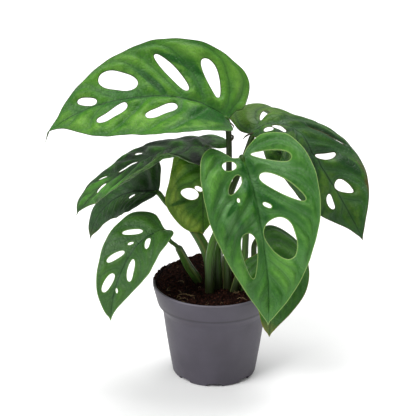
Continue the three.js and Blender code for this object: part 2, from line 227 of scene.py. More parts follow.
def tube(first: int, rings: int, count: int) -> list[tuple[int, ...]]:
    """Joins rings of corners with faces.

    Args:
        first: Number of the first ring's first corner.
        rings: How many rings there are.
        count: Corners in a ring.

    Returns:
        The faces between the rings.
    """
    return [(low + j, low + (j + 1) % count, low + count + (j + 1) % count, low + count + j)
            for low in range(first, first + (rings - 1) * count, count) for j in range(count)]


def add_strand(vertices: list, faces: list, line: Points, thick: float, sides: int) -> None:
    """Adds a thin strand with narrow ends to a mesh in the making.

    Args:
        vertices: Corners so far.
        faces: Faces so far.
        line: The strand's middle line.
        thick: Its largest radius.
        sides: How many sides it has.
    """
    end, leaning = 0.25, (0.1, 0.2, 1.0)
    start, n = len(vertices), len(line)
    for k, (place, way) in enumerate(zip(line, directions(line))):
        side = np.cross(way, leaning)
        side /= np.linalg.norm(side)
        above = np.cross(side, way)
        radius = thick * (end + (1 - end) * math.sin(math.pi * (k + 0.3) / (n - 0.4)))
        for turn in full_turn(sides):
            vertices.append(place + radius * (math.cos(turn) * side + math.sin(turn) * above))
    faces += tube(start, n, sides)
    faces.append(tuple(start + j for j in range(sides))[::-1])
    faces.append(tuple(start + (n - 1) * sides + j for j in range(sides)))


# ---------------------------------------------------------------- materials


def linear(colour: str) -> Colour:
    """Turns an sRGB hex colour into linear light.

    Args:
        colour: A colour such as "#4f8f35".

    Returns:
        Red, green, blue and an alpha of 1.
    """
    channels = [int(colour[i:i + 2], 16) / 255 for i in (1, 3, 5)]
    red, green, blue = (c / 12.92 if c <= 0.04045 else ((c + 0.055) / 1.055) ** 2.4 for c in channels)
    return red, green, blue, 1.0


def add(tree: bpy.types.NodeTree, kind: str, settings: dict[str, Any] | None = None,
        inputs: dict[Any, Any] | None = None) -> bpy.types.Node:
    """Adds a node with its settings and links.

    Args:
        tree: The material's node tree.
        kind: Type name of the node.
        settings: Properties of the node.
        inputs: A value, or the socket that feeds it, for each input.

    Returns:
        The new node.
    """
    made = tree.nodes.new(kind)
    for key, value in (settings or {}).items():
        setattr(made, key, value)
    for key, value in (inputs or {}).items():
        if isinstance(value, Socket):
            tree.links.new(value, made.inputs[key])
        else:
            made.inputs[key].default_value = value
    return made


SMOOTH = {"interpolation_type": "SMOOTHSTEP"}


def falling(full: float, none: float, most: float = 1.0) -> dict[str, float]:
    """Sets how an effect falls away over a range of values.

    Args:
        full: Value where the effect is at its most.
        none: Value where it is gone.
        most: The effect at its most.

    Returns:
        The range and its ends, by the names of their sockets.
    """
    ends = (full, none, most, 0.0) if full < none else (none, full, 0.0, most)
    return dict(zip(("From Min", "From Max", "To Min", "To Max"), ends))


def grained(size: float, octaves: float = 3.0, rough: float = 0.55) -> dict[str, float]:
    """Sets a pattern with patches of a real size.

    Args:
        size: Size of the patches, in the unit of the pattern's places.
        octaves: How many finer patterns are added to it.
        rough: Weight of the finer ones.

    Returns:
        The pattern's values, by the names of their sockets.
    """
    return {"Scale": 1 / size, "Detail": octaves, "Roughness": rough}


class Coat:
    """A finish in the making: its material, and the colour that is laid on so far."""

    def __init__(self, name: str, ground: str) -> None:
        """Starts a material that is one colour all over.

        Args:
            name: Name of the material.
            ground: Its first colour, in hex.
        """
        self.material = bpy.data.materials.new(name)
        self.material.use_nodes = True
        self.tree = self.material.node_tree
        self.tree.nodes.clear()
        self.colour: Any = linear(ground)

    def lay(self, *layers: tuple[str, Socket, dict[str, float] | None]) -> None:
        """Lays colours over the ground, one after another.

        Args:
            layers: Each layer's colour in hex, the socket that says where it shows, and the range
                over which it falls away, or None where the socket itself runs from 0 to 1.
        """
        for tint, where, fall in layers:
            if fall:
                where = add(self.tree, "ShaderNodeMapRange", SMOOTH, {"Value": where, **fall}).outputs[0]
            inputs = {0: where, 6: self.colour, 7: linear(tint)}
            self.colour = add(self.tree, "ShaderNodeMix", {"data_type": "RGBA"}, inputs).outputs[2]

    def close(self, roughness: float | Socket, relief: Socket | None = None, depth: float = 0.0,
              constants: dict[str, Any] | None = None) -> bpy.types.Material:
        """Closes the tree with its shader.

        Args:
            roughness: Roughness.
            relief: Pattern that raises the surface, if any.
            depth: Height of the relief, in metres.
            constants: Further values, by the names of the shader's own sockets.

        Returns:
            The material.
        """
        inputs = {"Base Color": self.colour, "Roughness": roughness, **(constants or {})}
        if relief is not None:
            bump = add(self.tree, "ShaderNodeBump", None, {"Height": relief, "Distance": depth})
            inputs["Normal"] = bump.outputs[0]
        shader = add(self.tree, "ShaderNodeBsdfPrincipled", None, inputs)
        add(self.tree, "ShaderNodeOutputMaterial", None, {"Surface": shader.outputs[0]})
        return self.material


class Mark(Enum):
    """What a soft patch does to its part of a blade."""

    RISE = "rise"
    SHADE = "shade"
    GLOW = "glow"


@dataclass(frozen=True)
class WaxyLeaf:
    """Living leaf skin: a smooth wax coat over soft green tissue.

    The wax gives a broad satin sheen that turns greyish where it faces the light, and the
    tissue lets light through, so thin and folded places glow yellower. On the upper side the colours
    also paint light: shade in the vein creases and the dark patches, a sheen that is part of the
    blue-green of the troughs, and light in the yellower patches. Sizes are in millimetres.
    """

    name: str
    lamina: str = "#44791c"
    bulge: str = "#6c9c3a"
    # trough is partly a painted sheen; crease and blotch also carry painted shade
    trough: str = "#3c6c30"
    crease: str = "#103c0c"
    margin: str = "#2e3318"
    under: str = "#5a8342"
    blotch: str = "#15500c"
    roughness: float = 0.42
    cloud: float = 26.0          # size of the large dark clouds
    mottle: float = 7.0          # size of the small ones
    mesh: float = 4.2            # of the fine net of veins, drawn coarser than a real one so that it shows

    def upper(self) -> bpy.types.Material:
        """Makes the upper side: sunk veins with painted shade in their creases, in blue-green troughs
        that are partly a painted sheen, between yellower quilting, with patches of painted shade and light.

        Returns:
            The material.
        """
        coat = Coat(f"waxy_leaf_{self.name}", self.lamina)
        flat, mottle, net = self.pattern(coat)
        clouds = add(coat.tree, "ShaderNodeTexNoise", None, {"Vector": flat, **grained(self.cloud)})
        vein, rib, edge, shade, glow = (
            add(coat.tree, "ShaderNodeAttribute", {"attribute_name": name}).outputs["Fac"]
            for name in ("vein_mm", "rib_mm", "edge_mm", Mark.SHADE.value, Mark.GLOW.value))
        between = add(coat.tree, "ShaderNodeMapRange", SMOOTH, {"Value": vein, **falling(7.5, 1.5, 0.6)})
        plump = add(coat.tree, "ShaderNodeMapRange", SMOOTH, {"Value": mottle, **falling(0.72, 0.26)})
        # Glow above 0 adds painted light in the bulge colour.
        raised = add(coat.tree, "ShaderNodeMath", {"operation": "MULTIPLY_ADD", "use_clamp": True},
                     {0: between.outputs[0], 1: plump.outputs[0], 2: glow})
        coat.lay(
            (self.blotch, clouds.outputs[0], falling(0.62, 0.4, 0.7)),
            (self.bulge, raised.outputs[0], None),
            # Glow below 0 lays a painted sheen in the trough colour; shade below 0 lays the margin's own
            # brown, and above 0 painted shade in the blotch and crease colours.
            (self.trough, glow, falling(-1.0, 0.0)),
            (self.margin, shade, falling(-1.0, 0.0)),
            (self.blotch, shade, falling(1.0, 0.0)),
            (self.crease, shade, falling(2.0, 1.0)),
            # Beside the laterals and the midrib the trough colour is partly a painted sheen, and the crease
            # colour in them is painted shade.
            (self.trough, vein, falling(0.5, 3.5, 0.4)),
            (self.crease, vein, falling(0.2, 1.1, 0.35)),
            (self.trough, rib, falling(0.3, 5.0, 0.5)),
            (self.crease, rib, falling(0.4, 1.5, 0.75)),
            (self.crease, net, falling(0.0, 0.1, 0.13)),
            # The margin colour: brown on most leaves, a painted highlight where the front leaf's rim catches
            # light.
            (self.margin, edge, falling(0.25, 1.0, 0.8)))
        return self.waxed(coat, mottle, net)

    def lower(self) -> bpy.types.Material:
        """Makes the underside: paler and duller, with raised light veins.

        Returns:
            The material.
        """
        coat = Coat(f"waxy_leaf_{self.name}_underside", self.under)
        _, mottle, net = self.pattern(coat)
        vein = add(coat.tree, "ShaderNodeAttribute", {"attribute_name": "vein_mm"}).outputs["Fac"]
        coat.lay(
            (self.lamina, mottle, falling(0.7, 0.3)),
            (self.margin, vein, falling(0.4, 1.4, 0.5)),
            (self.trough, net, falling(0.0, 0.1, 0.2)))
        return self.waxed(coat, mottle, net)

    def pattern(self, coat: Coat) -> tuple[Socket, Socket, Socket]:
        """Adds the patterns that both sides of the skin share.

        Args:
            coat: The skin in the making.

        Returns:
            The places on the flat leaf, a mottle, and the distance to a fine net of veins.
        """
        flat = add(coat.tree, "ShaderNodeAttribute", {"attribute_name": "flat_mm"}).outputs["Vector"]
        mottle = add(coat.tree, "ShaderNodeTexNoise", None, {"Vector": flat, **grained(self.mottle)})
        net = add(coat.tree, "ShaderNodeTexVoronoi", {"feature": "DISTANCE_TO_EDGE"},
                  {"Vector": flat, "Scale": 1 / self.mesh})
        return flat, mottle.outputs[0], net.outputs[0]

    def waxed(self, coat: Coat, mottle: Socket, net: Socket) -> bpy.types.Material:
        """Adds the wax sheen, the fine relief and the glow of thin tissue.

        Args:
            coat: The skin in the making.
            mottle: Its mottle.
            net: The distance to its fine net of veins.

        Returns:
            The material.
        """
        sunk = add(coat.tree, "ShaderNodeMapRange", SMOOTH, {"Value": net, **falling(0.0, 0.16, 0.35)})
        relief = add(coat.tree, "ShaderNodeMath", {"operation": "SUBTRACT", "use_clamp": True},
                     {0: mottle, 1: sunk.outputs[0]})
        rough = add(coat.tree, "ShaderNodeMapRange", None,
                    {"Value": mottle, "To Min": self.roughness - 0.06, "To Max": self.roughness + 0.12})
        return coat.close(rough.outputs[0], relief.outputs[0], 0.5 * MM, {
            "IOR": 1.42, "Specular IOR Level": 0.3, "Subsurface Weight": 0.28,
            "Subsurface Radius": (0.5, 1.0, 0.2), "Subsurface Scale": 0.9 * MM})


@dataclass(frozen=True)
class GreenStalk:
    """Living petiole skin: smooth and juicy, streaked along its length.

    It shines in a narrow line along the stalk, and darkens to brown towards its foot.
    """

    foot: str = "#221d16"
    sheath: str = "#47702a"
    stalk: str = "#2c421a"
    rim: str = "#6f7a44"
    streak: str = "#33301f"
    knee: str = "#3d6a20"
    streak_width: float = 0.9                                   # in millimetres
    drawn_out: tuple[float, float, float] = (1.0, 0.035, 0.0)   # makes the streaks long

    def material(self) -> bpy.types.Material:
        """Makes the skin from the height and the turn round the stalk.

        Returns:
            The material.
        """
        coat = Coat("green_stalk_skin", self.stalk)
        place = add(coat.tree, "ShaderNodeAttribute", {"attribute_name": "stalk"}).outputs["Vector"]
        fresh, rim = (add(coat.tree, "ShaderNodeAttribute", {"attribute_name": name}).outputs["Fac"]
                      for name in ("fresh", "rim"))
        height = add(coat.tree, "ShaderNodeSeparateXYZ", None, {0: place}).outputs[2]
        stretched = add(coat.tree, "ShaderNodeVectorMath", {"operation": "MULTIPLY"},
                        {0: place, 1: self.drawn_out})
        streaks = add(coat.tree, "ShaderNodeTexNoise", None,
                      {"Vector": stretched.outputs[0], **grained(self.streak_width)}).outputs[0]
        coat.lay(
            (self.sheath, height, falling(0.25, 0.75)),
            (self.sheath, fresh, None),
            (self.streak, streaks, falling(0.7, 0.42, 0.85)),
            (self.foot, height, falling(0.1, 0.34, 0.85)),
            (self.knee, height, falling(0.98, 0.92)),
            (self.rim, rim, None))
        return coat.close(0.36, streaks, 0.2 * MM, {
            "IOR": 1.42, "Specular IOR Level": 0.25, "Subsurface Weight": 0.15,
            "Subsurface Radius": (0.5, 1.0, 0.2), "Subsurface Scale": 1.0 * MM})


@dataclass(frozen=True)
class Peat:
    """Crumbled moist peat: matt, near black in its pores and rusty brown on dry crumbs."""

    name: str
    pore: str = "#0e0403"
    crumb: str = "#2e140e"
    dry: str = "#6a4536"
    crumb_size: float = 2.2      # in millimetres
    grit_size: float = 0.5

    def material(self) -> bpy.types.Material:
        """Makes the crumbs, with a finer grit on them.

        Returns:
            The material.
        """
        coat = Coat(f"crumbled_peat_{self.name}", self.pore)
        place = add(coat.tree, "ShaderNodeTexCoord").outputs["Object"]
        crumbs, grit = (
            add(coat.tree, "ShaderNodeTexNoise", None, {"Vector": place, **pattern}).outputs[0]
            for pattern in (grained(self.crumb_size * MM, 4), grained(self.grit_size * MM)))
        coat.lay((self.crumb, crumbs, falling(0.62, 0.4)), (self.dry, crumbs, falling(0.72, 0.6, 0.7)))
        relief = add(coat.tree, "ShaderNodeMath", {"operation": "MULTIPLY_ADD", "use_clamp": True},
                     {0: grit, 1: 0.6, 2: crumbs})
        return coat.close(0.92, relief.outputs[0], self.crumb_size * MM, {"Specular IOR Level": 0.1})


@dataclass(frozen=True)
class DryFibre:
    """Dry root and bark fibre: matt and straw coloured, or brown where a sheath has withered."""

    part: str = "fibre"
    pale: str = "#a08560"
    dark: str = "#4f3826"
    patch: float = 4.0           # length of a paler stretch, in millimetres

    def material(self) -> bpy.types.Material:
        """Makes the fibre, with some strands paler than others.

        Returns:
            The material.
        """
        coat = Coat(f"dry_plant_{self.part}", self.dark)
        place = add(coat.tree, "ShaderNodeTexCoord").outputs["Object"]
        paler = add(coat.tree, "ShaderNodeTexNoise", None, {"Vector": place, **grained(self.patch * MM)})
        coat.lay((self.pale, paler.outputs[0], None))
        return coat.close(0.8)


@dataclass(frozen=True)
class MouldedPolypropylene:
    """Thin injection-moulded polypropylene, grey.

    The mould leaves a fine satin grain, so highlights are wide and soft; handling leaves
    faint scuffs and a little dust, and filling leaves dirt on the inside, painted darker still
    with shade on the back of the inner wall. A painted shade line runs under the band's ledge,
    and a painted highlight along the lip's top. Sizes are in millimetres.
    """

    body: str = "#494550"
    shade: str = "#413d47"
    dust: str = "#5c5762"
    # Painted highlight on the lip's top.
    lip_highlight: str = "#7d7883"
    # Painted shade line under the band's ledge.
    line: str = "#232026"
    # Dirt, with painted shade on the back of the inner wall.
    dirt_and_shade: str = "#1f1617"
    cloud: float = 30.0                              # sizes of the dark clouds, scuffs and grain
    scuff: float = 3.0
    grain: float = 0.35                              # drawn coarser than a mould's, so that it shows
    shade_line_height: float = 77.0                        # height of the painted shade line under the band's small ledge
    lip_highlight_heights: tuple[float, float] = (95.6, 94.4)     # heights where the lip's top is painted pale as a highlight, and no more
    dirt_and_shade_radius: tuple[float, float] = (58.9, 60.3)  # where the dirt and painted shade are full, and where they end
    dirt_and_shade_height: tuple[float, float] = (86.0, 80.0)
    dirt_and_shade_depth: tuple[float, float] = (-2.0, -36.0)

    def material(self) -> bpy.types.Material:
        """Makes the plastic, its mould grain, its faint scuffs, its dirt with painted shade,
        a painted shade line and a painted highlight on the lip.

        Returns:
            The material.
        """
        coat = Coat("moulded_polypropylene_grey", self.body)
        place = add(coat.tree, "ShaderNodeTexCoord").outputs["Object"]
        cloud, scuff, grain = (
            add(coat.tree, "ShaderNodeTexNoise", None, {"Vector": place, **pattern}).outputs[0]
            for pattern in (grained(self.cloud * MM, 2), grained(self.scuff * MM, 5, 0.7),
                            grained(self.grain * MM, 2)))
        _, depth, height = add(coat.tree, "ShaderNodeSeparateXYZ", None, {0: place}).outputs
        above_shade_line = add(coat.tree, "ShaderNodeMath", {"operation": "SUBTRACT"},
                         {0: height, 1: self.shade_line_height * MM})
        off_shade_line = add(coat.tree, "ShaderNodeMath", {"operation": "ABSOLUTE"}, {0: above_shade_line.outputs[0]})
        level = add(coat.tree, "ShaderNodeVectorMath", {"operation": "MULTIPLY"},
                    {0: place, 1: (1.0, 1.0, 0.0)})
        radius = add(coat.tree, "ShaderNodeVectorMath", {"operation": "LENGTH"}, {0: level.outputs[0]})
        # Dirt and painted shade on the upper inside of the back wall, broken up by the scuffs.
        dirt_and_shade = 1.0
        for where, fall in (
                (radius.outputs["Value"], falling(*(r * MM for r in self.dirt_and_shade_radius))),
                (height, falling(*(z * MM for z in self.dirt_and_shade_height))),
                (depth, falling(*(y * MM for y in self.dirt_and_shade_depth))),
                (scuff, falling(0.3, 0.9, 1.2))):
            share = add(coat.tree, "ShaderNodeMapRange", SMOOTH, {"Value": where, **fall})
            dirt_and_shade = add(coat.tree, "ShaderNodeMath", {"operation": "MULTIPLY", "use_clamp": True},
                       {0: dirt_and_shade, 1: share.outputs[0]}).outputs[0]
        coat.lay(
            (self.shade, cloud, falling(0.7, 0.3)),
            (self.dust, scuff, falling(0.8, 0.6, 0.35)),
            # A painted highlight along the top of the lip.
            (self.lip_highlight, height, falling(*(z * MM for z in self.lip_highlight_heights), 0.45)),
            # A painted shade line under the band's ledge.
            (self.line, off_shade_line.outputs[0], falling(0.3 * MM, 1.5 * MM, 0.6)),
            # Dirt darkened with painted shade.
            (self.dirt_and_shade, dirt_and_shade, None))
        rough = add(coat.tree, "ShaderNodeMapRange", None, {"Value": scuff, "To Min": 0.42, "To Max": 0.62})
        return coat.close(rough.outputs[0], grain, 0.06 * MM, {"IOR": 1.49})


@dataclass(frozen=True)
class PaintedSweep:
    """Smooth studio floor with matt white paint: no sheen, and hardly a change of tone."""

    paint: str = "#f6f6f6"
    light: str = "#fafafa"
    patch: float = 200.0         # size of a lighter patch, in millimetres

    def material(self) -> bpy.types.Material:
        """Makes the paint.

        Returns:
            The material.
        """
        coat = Coat("matt_white_sweep", self.paint)
        place = add(coat.tree, "ShaderNodeTexCoord").outputs["Object"]
        lighter = add(coat.tree, "ShaderNodeTexNoise", None, {"Vector": place, **grained(self.patch * MM)})
        coat.lay((self.light, lighter.outputs[0], None))
        return coat.close(0.9)


# ---------------------------------------------------------------- leaves


@dataclass(frozen=True)
class Patch:
    """A soft oval of a blade that is raised or sunk, or painted with shade or with light.

    Attributes:
        x: Its middle, along the midrib.
        y: Its middle, to the left of the midrib.
        length: Its length.
        width: Its width.
        turn: Turn of its length from the midrib.
        rise: Height of its middle.
        shade: Painted shade, to 1 in the blotch colour, to 2 in the crease colour; below 0 the margin's
            brown.
        glow: Painted light, above 0 in the bulge colour, and below 0 a painted sheen in the trough colour.
    """

    x: float
    y: float
    length: float
    width: float
    turn: float = 0.0
    rise: float = 0.0
    shade: float = 0.0
    glow: float = 0.0

    def weight(self, flat: Points) -> Points:
        """Gives how much each flat point belongs to the patch.

        Args:
            flat: Flat points.

        Returns:
            1 in its middle, falling to 0 outside.
        """
        r = math.radians(self.turn)
        away = flat - (self.x, self.y)
        u = (away @ (math.cos(r), math.sin(r))) / (self.length / 2)
        v = (away @ (-math.sin(r), math.cos(r))) / (self.width / 2)
        return np.exp(-((u**2 + v**2) ** 1.5))


@dataclass(frozen=True)
class Hole:
    """One hole of a blade.

    Attributes:
        x: Its middle, along the midrib.
        y: Its middle, to the left of the midrib.
        length: Its length.
        width: Its width.
        turn: Turn of its length from the midrib.
        taper: How much narrower it gets towards its far end.
        waist: How much narrower it is in its middle.
        bend: How far its middle is bent to its left, as a fraction of its length.
    """

    x: float
    y: float
    length: float
    width: float
    turn: float
    taper: float = 0.0
    waist: float = 0.0
    bend: float = 0.0

    def outline(self, step: float) -> Points:
        """Draws the hole's rim.

        Args:
            step: Spacing of its points.

        Returns:
            The rim's points, without a double at the end.
        """
        squareness, corners = 0.88, full_turn(96)
        u, v = (np.sign(w) * np.abs(w) ** squareness for w in (np.cos(corners), np.sin(corners)))
        v = v * (1 - self.taper * u) * (1 - self.waist * (1 - u**2))
        x = u * self.length / 2
        y = v * self.width / 2 + self.bend * (1 - u**2) * self.length
        c, s = math.cos(math.radians(self.turn)), math.sin(math.radians(self.turn))
        rim = np.stack((self.x + x * c - y * s, self.y + x * s + y * c), 1)
        return resampled(np.vstack((rim, rim[:1])), step)[:-1]


@dataclass(frozen=True)
class Leaf:
    """One leaf. What is given along the midrib or the outline runs from the base to the tip.

    Attributes:
        name: Which leaf it is.
        finish: Its skin.
        base: Where the midrib starts.
        length: Length of the midrib.
        heading: Direction of the midrib, seen from above.
        pitch: Rise of the midrib.
        roll: Turn of the blade about its midrib.
        fold: Rise of the left and of the right half from the midrib.
        curl: How far each half bends down on its way out.
        left: Outline of the left half, as places along and beside the midrib.
        right: Outline of the right half.
        holes: Its holes.
        route: Middle line of the petiole, from inside the soil.
        foot: Radius of the petiole's foot.
        top: Radius of its stalk.
        sheath_end: Fraction of the petiole that is a sheath.
        drip: Length of the drip tip.
        fresh: How light a green the whole petiole is, up to 1.
        quilt: Height of the blade between its veins.
        wave: Height of the waves along its margin.
        patches: Its soft patches of relief, painted shade and painted light.
    """

    name: str
    finish: WaxyLeaf
    base: tuple[float, float, float]
    length: float
    heading: tuple[float, ...]
    pitch: tuple[float, ...]
    roll: tuple[float, ...]
    fold: tuple[tuple[float, ...], tuple[float, ...]]
    curl: tuple[float, float]
    left: tuple[tuple[float, float], ...]
    right: tuple[tuple[float, float], ...]
    holes: tuple[Hole, ...]
    route: tuple[tuple[float, float, float], ...]
    foot: float
    top: float
    sheath_end: float
    drip: float = 1.5
    fresh: float = 0.0
    quilt: float = 2.6
    wave: float = 0.6
    patches: tuple[Patch, ...] = ()


@dataclass
class LeafSurface:
    """The bent middle surface of a blade."""

    leaf: Leaf
    steps: int = 60              # of the midrib
    curl_width: float = 50.0     # curl is the turn across this width
    least_bend: float = 1e-8
    drip_loss: float = 0.6       # how much the drip tip's bend takes from its reach
    drip_sag: float = 0.9        # how much it lets the tip down

    def __post_init__(self) -> None:
        """Works out the midrib's places and directions."""
        leaf, t = self.leaf, np.linspace(0, 1, self.steps + 1)
        heading, pitch, roll = (
            np.radians(along(stations, t))[:, None] for stations in (leaf.heading, leaf.pitch, leaf.roll))
        self.forward = np.hstack(
            (np.cos(pitch) * np.cos(heading), np.cos(pitch) * np.sin(heading), np.sin(pitch)))
        level = np.hstack((-np.sin(heading), np.cos(heading), 0 * heading))
        above = np.cross(self.forward, level)
        self.side = level * np.cos(roll) + above * np.sin(roll)
        self.up = above * np.cos(roll) - level * np.sin(roll)
        middle = self.forward[1:] + self.forward[:-1]
        runs = middle / np.linalg.norm(middle, axis=1)[:, None] * leaf.length / self.steps
        self.rib = np.array(leaf.base) + np.vstack((np.zeros(3), np.cumsum(runs, 0)))

    def points(self, flat: Points, lift: Points | float) -> Points:
        """Bends flat points onto the plant.

        Args:
            flat: Points of the flat leaf.
            lift: Height above the middle surface.

        Returns:
            Their places in millimetres.
        """
        leaf = self.leaf
        x, y = flat.T
        t = np.clip(x / leaf.length, 0, 1)
        i = np.minimum((t * self.steps).astype(int), self.steps - 1)
        f = (t * self.steps - i)[:, None]
        forward, side, up, rib = (
            v[i] * (1 - f) + v[i + 1] * f for v in (self.forward, self.side, self.up, self.rib))
        start = np.radians(np.where(y >= 0, along(leaf.fold[0], t), along(leaf.fold[1], t)))
        bend = np.radians(np.where(y >= 0, *leaf.curl)) / self.curl_width
        bend = np.where(np.abs(bend) < self.least_bend, self.least_bend, bend)
        end = start - bend * np.abs(y)
        across = (np.sin(start) - np.sin(end)) / bend * np.sign(y)
        rise = (np.cos(end) - np.cos(start)) / bend + lift
        over = x - t * leaf.length
        past = np.maximum(over, 0) ** 2 / leaf.drip
        reach, sag = over - self.drip_loss * past, self.drip_sag * past
        place = rib + forward * reach[:, None] + side * across[:, None] + up * rise[:, None]
        return place - np.stack((0 * sag, 0 * sag, sag), 1)


class Half(Enum):
    """The two halves of a blade, by the sign of their places beside the midrib."""

    LEFT = 1
    RIGHT = -1


@dataclass
class Veins:
    """The lateral veins of a flat blade, grown round its holes and in from its margin.

    The fan gives a lateral's angle to the midrib at fractions of its length.
    """

    leaf: Leaf
    outline: Points
    rims: list[Points]
    step: float = 1.5
    pitch: float = 0.105                       # of the length, between laterals that no hole sets apart
    fan: tuple = ((-0.1, 130), (0.0, 104), (0.08, 78), (0.3, 60), (0.6, 47), (1.0, 34))
    sweep: float = 0.4                         # how much of its angle a lateral loses on its way out
    follow: tuple[float, float] = (2.6, 6.0)   # strength and reach of a wall that turns a vein along it
    avoid: tuple[float, float] = (1.2, 3.0)    # strength and reach of a wall that turns a vein away
    at_rib: float = 0.4                        # distance at which a vein has come to the midrib
    behind_base: float = 2.0                   # how far behind the base it may still do so
    at_wall: float = 1.6                       # distance from the margin at which a vein ends
    at_vein: float = 1.5                       # distance from another vein at which it ends
    back_steps: int = 90
    all_steps: int = 110
    free_steps: int = 8                        # from the midrib, where laterals may run close together
    beside: float = 0.6                        # distance from the midrib at which a lateral starts
    first: float = 2.0                         # where along it the first one does
    last: float = 0.9                          # of the length, where the last one may

    def __post_init__(self) -> None:
        """Grows the veins of both halves."""
        closed = [self.outline, *self.rims]
        self.walls = np.vstack(closed)
        self.runs = np.vstack([np.roll(line, -1, 0) - line for line in closed])
        self.runs /= np.maximum(np.linalg.norm(self.runs, axis=1), 1e-9)[:, None]
        self.half_width = np.abs(self.outline[:, 1]).max()
        self.lines: list[Points] = []
        for half in Half:
            self.grow_half(half.value)

    def direction(self, place: Points, side: int) -> Points:
        """Gives the way a lateral runs at a place, outwards and towards the tip.

        Args:
            place: Flat point.
            side: 1 on the left half and -1 on the right.

        Returns:
            A unit vector.
        """
        angle = np.interp(place[0] / self.leaf.length, *zip(*self.fan))
        angle *= 1 - self.sweep * min(abs(place[1]) / self.half_width, 1)
        way = np.array((math.cos(math.radians(angle)), side * math.sin(math.radians(angle))))
        away = place - self.walls
        distances = np.hypot(*away.T)
        i = distances.argmin()
        run = self.runs[i] * (1 if self.runs[i] @ way >= 0 else -1)
        near = distances[i]
        follow, avoid = (
            strength * math.exp(-((near / reach) ** 2)) for strength, reach in (self.follow, self.avoid))
        way = way + follow * run
        way = way + avoid * away[i] / max(near, 1e-6)
        return way / np.hypot(*way)

    def grow(self, seed: Points, side: int) -> Points | None:
        """Grows one lateral through a seed, from the midrib to the margin.

        Args:
            seed: A place that it passes through.
            side: 1 on the left half and -1 on the right.

        Returns:
            The vein's points, or None where it doesn't reach the midrib.
        """
        back, place = [], seed
        while place[1] * side > self.at_rib and len(back) < self.back_steps:
            back.append(place)
            place = place - self.step * self.direction(place, side)
        if place[1] * side > self.at_rib or not -self.behind_base < place[0] < self.leaf.length:
            return None
        line = [np.array((place[0], 0.0)), *back[::-1]]
        place = line[-1] if back else seed
        others = np.vstack(self.lines) if self.lines else np.full((1, 2), np.inf)
        while len(line) < self.all_steps:
            place = place + self.step * self.direction(place, side)
            line.append(place)
            ended = np.hypot(*(self.outline - place).T).min() < self.at_wall
            met = len(line) > self.free_steps and np.hypot(*(others - place).T).min() < self.at_vein
            if ended or met or not inside(place[None], self.outline)[0]:
                break
        return np.array(line)

    def grow_half(self, side: int) -> None:
        """Grows the laterals of one half, those between two holes first.

        Args:
            side: 1 on the left half and -1 on the right.
        """
        length, lean, beside_rib = self.leaf.length, 0.8, 2
        past_far, past_near = 0.2, 0.1       # of a hole's length, to the laterals beyond the outermost
        part_gap = 0.25                      # what a gap may lack and still count
        holes = sorted((hole for hole in self.leaf.holes if hole.y * side > beside_rib),
                       key=lambda hole: hole.x - lean * abs(hole.y))
        seeds = [np.array(((a.x + b.x) / 2, (a.y + b.y) / 2)) for a, b in zip(holes, holes[1:])]
        if holes:
            near, far = holes[0], holes[-1]
            seeds.append(np.array((far.x + past_far * far.length + far.width, far.y)))
            seeds.append(np.array((near.x - past_near * near.length - near.width, near.y)))
        grown = [line for seed in seeds[::-1] if inside(seed[None], self.outline)[0]
                 and (line := self.grow(seed, side)) is not None]
        taken = sorted([0.0, *(line[0][0] for line in grown), self.last * length])
        self.lines += grown
        starts = [self.first]
        for low, high in zip(taken, taken[1:]):
            gaps = int((high - low) / (self.pitch * length) + part_gap)
            starts += [low + (high - low) * k / gaps for k in range(1, gaps)]
        for x in sorted(starts, reverse=True):
            line = self.grow(np.array((x, self.beside * side)), side)
            if line is not None:
                self.lines.append(line)


